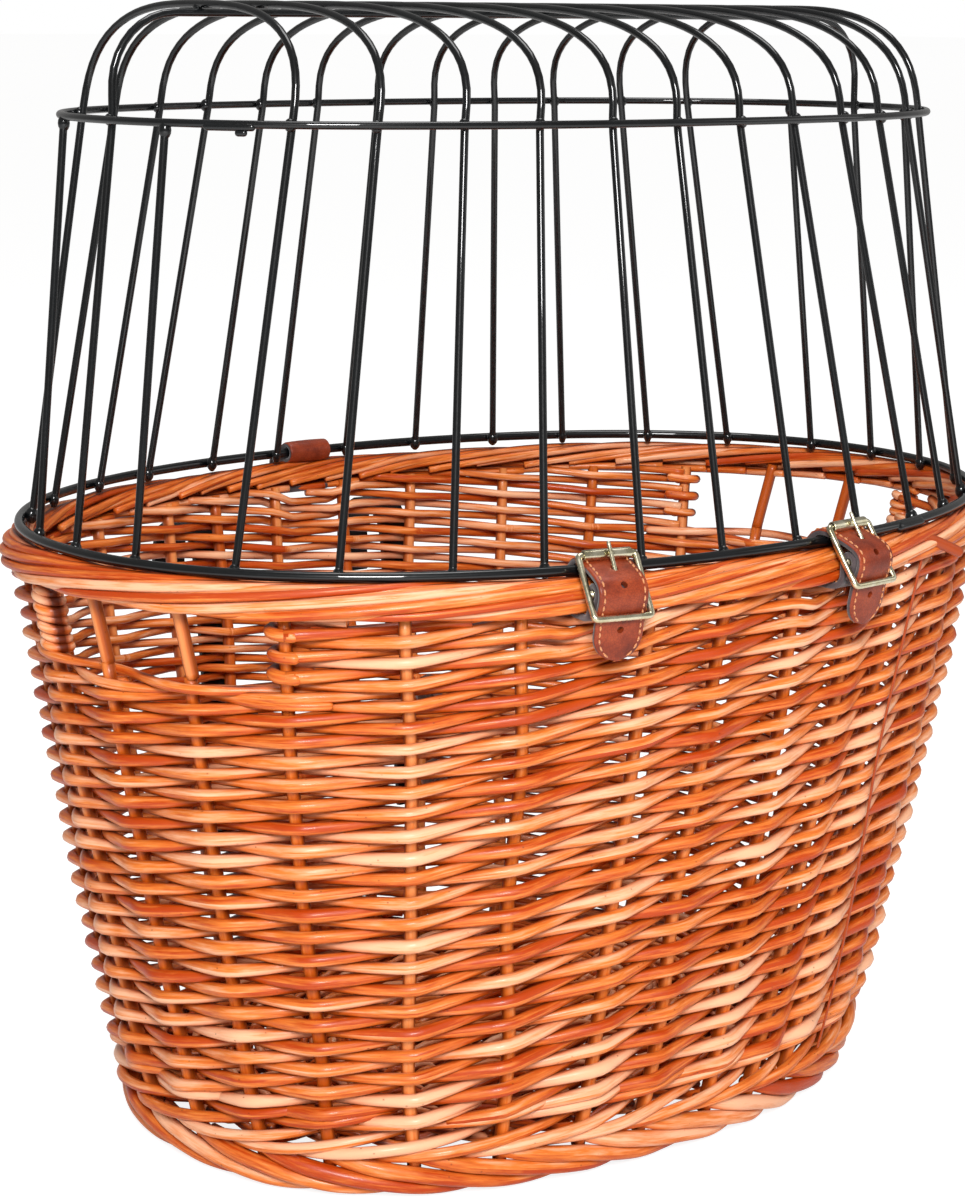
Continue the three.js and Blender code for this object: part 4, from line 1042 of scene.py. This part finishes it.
# the tongue is looped round the ring, passes under the roller and over the middle bar
tongue = {
    "loopOut": 8.05, "loopMiddle": -4.7, "loopRise": 8.15, "underRoller": 3.55, "overBar": 5.35,
    "insideFrame": 2.95, "tip": (12.5, -31.5), "holeHeights": (-4.0, -19.0), "holeRadius": 1.35,
    "prongHole": 1.4, "seamInset": 1.9, "seamEnds": (4, 2.2),
}


def tongueLine():
    s, t = strap, tongue
    points = []
    for turn in np.arange(4) / 4 * math.pi / 2:
        points.append((-t["loopOut"] * math.cos(turn), t["loopMiddle"] + t["loopRise"] * math.sin(turn)))
    points += [(0, t["loopMiddle"] + t["loopRise"]), (s["top"][0], s["top"][1] - t["underRoller"])]
    points += arc(*s["middle"], t["overBar"], 1.1, -0.15, 3)
    points += [(s["bottom"][0] - t["insideFrame"], s["bottom"][1]), t["tip"]]
    return smoothLine(points, 60)


def prongEnds():
    middle, top = np.array(strap["middle"]), np.array(strap["top"])
    across = unit(top - middle)
    outward = np.array([across[1], -across[0]])
    start = middle + outward * buckle["eyeRadius"]
    over = top + outward * buckle["prongOver"]
    return start, over, over + unit(over - start) * buckle["prongPast"]


def drill(piece, places, radius, long=1.0):
    # holes through the leather, each given as a point and a direction in the side view
    for point, direction in places:
        bpy.ops.mesh.primitive_cylinder_add(vertices=20, radius=radius * mm, depth=16 * mm)
        cutter = bpy.context.object
        turn = Vector((0, direction[0], direction[1])).to_track_quat("Z", "X").to_matrix().to_4x4()
        stretch = Matrix.Diagonal((long, 1, 1, 1)) if long != 1.0 else Matrix.Identity(4)
        cutter.matrix_world = Matrix.Translation(Vector((0, point[0], point[1])) * mm) @ turn @ stretch
        makeActive(piece)
        bpy.ops.object.modifier_add(type="BOOLEAN")
        modifier = piece.modifiers[-1]
        modifier.object = cutter
        modifier.solver = "EXACT"
        bpy.ops.object.modifier_apply(modifier=modifier.name)
        bpy.data.objects.remove(cutter)


# one stitch: how far it stands out of the leather and its radius, at five points
stitch = {"gap": 2.7, "length": 1.9, "lift": [0.05, 0.24, 0.3, 0.24, 0.05],
          "radius": [0.2, 0.36, 0.4, 0.36, 0.2]}


def makeSeams(name, line, seamAt, ends):
    # a row of stitches along each edge of a strip's outer face, between its ends' margins
    bundle = newBundle()
    length, normals = lengthAlong(line), faceNormals(line)
    lift = strap["thick"] / 2 + np.array(stitch["lift"])[:, None]
    for sign in (-1, 1):
        for place in np.arange(ends[0], length[-1] - ends[1], stitch["gap"]):
            spots = place + np.linspace(-0.5, 0.5, 5) * stitch["length"]
            path = pointsAt(line, length, spots) + pointsAt(normals, length, spots) * lift
            path = np.column_stack([[seamAt(spot, sign) for spot in spots], path])
            addRod(bundle, path, stitch["radius"], 6)
    return finishBundle(bundle, name, thread)


def makeTongue(side):
    t, half = tongue, strap["width"] / 2
    line = tongueLine()
    total = lengthAlong(line)[-1]
    piece = makeStrip("tongue_" + side, line, half, strap["thick"], skin, crown=0.5, tip=half)
    holes = []
    for height in t["holeHeights"]:
        # the nearest point on the outer half of the line
        i = int(np.argmin(np.abs(line[:, 1] - height) + (line[:, 0] < 9) * 99))
        tangent = line[i + 1] - line[i - 1]
        holes.append((line[i], (-tangent[1], tangent[0])))
    drill(piece, holes, t["holeRadius"])
    start, _, end = prongEnds()
    drill(piece, [((start + end) / 2, unit(end - start))], t["prongHole"])

    def seamAt(spot, sign):
        # the seam follows the rounded tip
        left = total - spot
        width = half if left > half else half * math.sqrt(max(0.0, 1 - (1 - left / half) ** 2))
        return sign * max(0.0, width - t["seamInset"])
    stitches = makeSeams("tongueStitches_" + side, line, seamAt, t["seamEnds"])
    placeInFrame(side, piece, stitches)
    takeOver("strap_tongue_" + side, "leather", "cage", piece, stitches)


def makeBuckleStrap(side):
    s = strap
    line = evenLine(buckleStrapLine(), 1.3)
    piece = makeStrip("buckleStrap_" + side, line, s["width"] / 2, s["thick"], suede, flip=True)
    drill(piece, [(s["prongSlot"], (0.5, 1.0))], s["slotRadius"], long=s["slotLong"])
    stitches = makeSeams("buckleStitches_" + side, line,
                         lambda spot, sign: sign * s["seamOut"], s["seamEnds"])
    placeInFrame(side, piece, stitches)
    takeOver("buckle_strap_" + side, "leather", "basket", piece, stitches)


def makeHingeStrap():
    line = evenLine(hingeLine(), 1.0)
    piece = makeStrip("hingeStrap", line, strap["hingeWidth"] / 2, strap["thick"], skin, crown=0.3)
    placeInFrame("hinge", piece)
    takeOver("hinge_strap", "leather", "basket", piece)


def frameLoop():
    # the buckle's outer wire, bent in a little at the middle bar
    b, s = buckle, strap
    rows = (s["top"], s["middle"], s["bottom"])
    corners = [(-b["rail"], *rows[0])] + [(b["rail"], *row) for row in rows]
    corners += [(-b["rail"], *row) for row in rows[:0:-1]]
    path = []
    for i, corner in enumerate(corners):
        before, here, after = (np.array(corners[j % 6], float) for j in (i - 1, i, i + 1))
        reach = b["middleBend"] if i in (2, 5) else b["bend"]
        a, c = here + unit(before - here) * reach, here + unit(after - here) * reach
        for w in np.linspace(0, 1, 6):
            path.append(a * (1 - w) ** 2 + here * 2 * w * (1 - w) + c * w * w)
    return path


def makeBuckle(side):
    s, b = strap, buckle
    bundle = newBundle()
    addRod(bundle, frameLoop(), b["bar"], 14, closed=True)
    addRod(bundle, [(x, *s["middle"]) for x in np.linspace(-b["rail"], b["rail"], 9)], b["bar"], 14)
    wire = finishBundle(bundle, "buckleFrame_" + side, brass)
    half, outer, bore = s["width"] / 2 - b["rollerPlay"], b["rollerRadius"], b["rollerBore"]
    edge, fall = b["rollerEdge"], b["rollerFall"]
    profile = [(-half, outer - fall), (-half + edge, outer), (half - edge, outer), (half, outer - fall),
               (half, bore), (-half, bore)]
    rings = [[(x, y, z) for y, z in arc(*s["top"], radius, 0, math.pi * 23 / 12, 24)]
             for x, radius in profile]
    roller = ringBody("buckleRoller_" + side, rings, [brass], 35, closed=True)
    start, over, end = prongEnds()
    middle, reach = np.array(s["middle"]), over - start
    away = unit(start - middle)
    line = [middle + away * b["eyeRadius"] - reach * 0.02, start + reach * 0.35 + away * 0.25, over, end]
    points = [(0, y, z) for y, z in smoothLine(line, 26)]
    path, radius = roundEnds(points, np.linspace(*b["prongRadius"], 26), (False, True))
    bundle = newBundle()
    addRod(bundle, path, radius, 12)
    eye = [(0, y, z) for y, z in arc(*middle, b["eyeRadius"], 0, math.pi * 1.9, 20)]
    addRod(bundle, eye, b["eyeWire"], 12, closed=True)
    prong = finishBundle(bundle, "buckleProng_" + side, brass)
    for made, name in ((wire, "frame"), (roller, "roller"), (prong, "prong")):
        placeInFrame(side, made)
        body = "buckle_" if made is wire else name + "_"
        takeOver("buckle_%s_%s" % (name, side), "buckle_brass", body + side, made)


for side in ("left", "right"):
    makeTongue(side)
    makeBuckleStrap(side)
    makeBuckle(side)
makeHingeStrap()
print("straps and buckles made")

# ---- handlebar hooks and their bolts keep the CAD shape, with worn edges
hardware = {"handlebar_hook": hookPaint, "hook_bolt": zinc, "hook_washer": zinc, "hook_nut": zinc}
for name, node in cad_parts.items():
    for start, material in hardware.items():
        if name.startswith(start):
            for index in range(len(node.data.materials)):
                node.data.materials[index] = material
            bevel = node.modifiers.new("worn edges", "BEVEL")
            bevel.width = 0.4 * mm
            bevel.segments = 3
            bevel.limit_method = "ANGLE"
            bevel.angle_limit = math.radians(30)
print("hardware kept")

# ---- floor, light and camera
bpy.ops.mesh.primitive_plane_add(size=80)
ground = bpy.context.object
ground.name = "ground"
groundMaterial, add = newMaterial("white paper")
paper = add("TexNoise", {"Scale": 3.0, "Detail": 2.0})
paperTone = add("ValToRGB", {"ramp": [(0.3, "F6F6F6"), (0.7, "FBFBFB")]}, {"Fac": (paper, 0)})
paperShader = add("BsdfPrincipled", {"Roughness": 0.9, "Specular IOR Level": 0.1},
                  {"Base Color": (paperTone, 0)})
# the camera sees the paper lifted to white, with the shadow left faintly on it
glow = add("Emission", {"Color": "FFFFFF", "Strength": 1.46})
seen = add("LightPath")
lift = add("Math", {"operation": "MULTIPLY", 1: 0.6}, {0: (seen, "Is Camera Ray")})
lifted = add("MixShader", links={0: (lift, 0), 1: (paperShader, 0), 2: (glow, 0)})
add("OutputMaterial", links={"Surface": (lifted, 0)})
ground.data.materials.append(groundMaterial)

world = bpy.context.scene.world or bpy.data.worlds.new("studio")
bpy.context.scene.world = world
world.use_nodes = True
world.node_tree.nodes.clear()
add = partial(addNode, world.node_tree)
seen = add("LightPath")
dim = add("Background", {"Color": "F8F6F4", "Strength": 0.3})
bright = add("Background", {"Color": "FFFFFF", "Strength": 1.0})
mixed = add("MixShader", links={0: (seen, "Is Camera Ray"), 1: (dim, 0), 2: (bright, 0)})
add("OutputWorld", links={"Surface": (mixed, 0)})

lights = {
    "key": {"place": (-1.25, -1.7, 1.3), "size": 0.6, "power": 60},
    "fill": {"place": (1.7, -1.1, 0.9), "size": 1.0, "power": 3},
    "top": {"place": (0.2, 0.1, 2.2), "size": 1.0, "power": 17},
}
for name, light in lights.items():
    bpy.ops.object.light_add(type="AREA", location=light["place"])
    lamp = bpy.context.object
    lamp.name = name
    lamp.data.size = light["size"]
    lamp.data.energy = light["power"]
    aim = Vector((0, 0, 0.2)) - Vector(light["place"])
    lamp.rotation_euler = aim.to_track_quat("-Z", "Y").to_euler()

# the photo's view, fitted to it: metres, degrees and millimetres of lens
view = {"place": (-0.76024, -0.949424, 0.45627), "yaw": -38.316, "down": 11.405, "roll": 0.4985,
        "lens": 88.05}
yaw, down, roll = (math.radians(view[key]) for key in ("yaw", "down", "roll"))
aimed = Euler((math.pi / 2 - down, 0, yaw)).to_matrix() @ Matrix.Rotation(roll, 3, "Z")
bpy.ops.object.camera_add()
camera = bpy.context.object
camera.matrix_world = Matrix.Translation(view["place"]) @ aimed.to_4x4()
camera.data.lens = view["lens"]
camera.data.sensor_width = 36
camera.data.sensor_height = 36
camera.data.sensor_fit = "VERTICAL"
bpy.context.scene.camera = camera
bpy.context.scene.view_settings.view_transform = "Standard"
print("stage set")
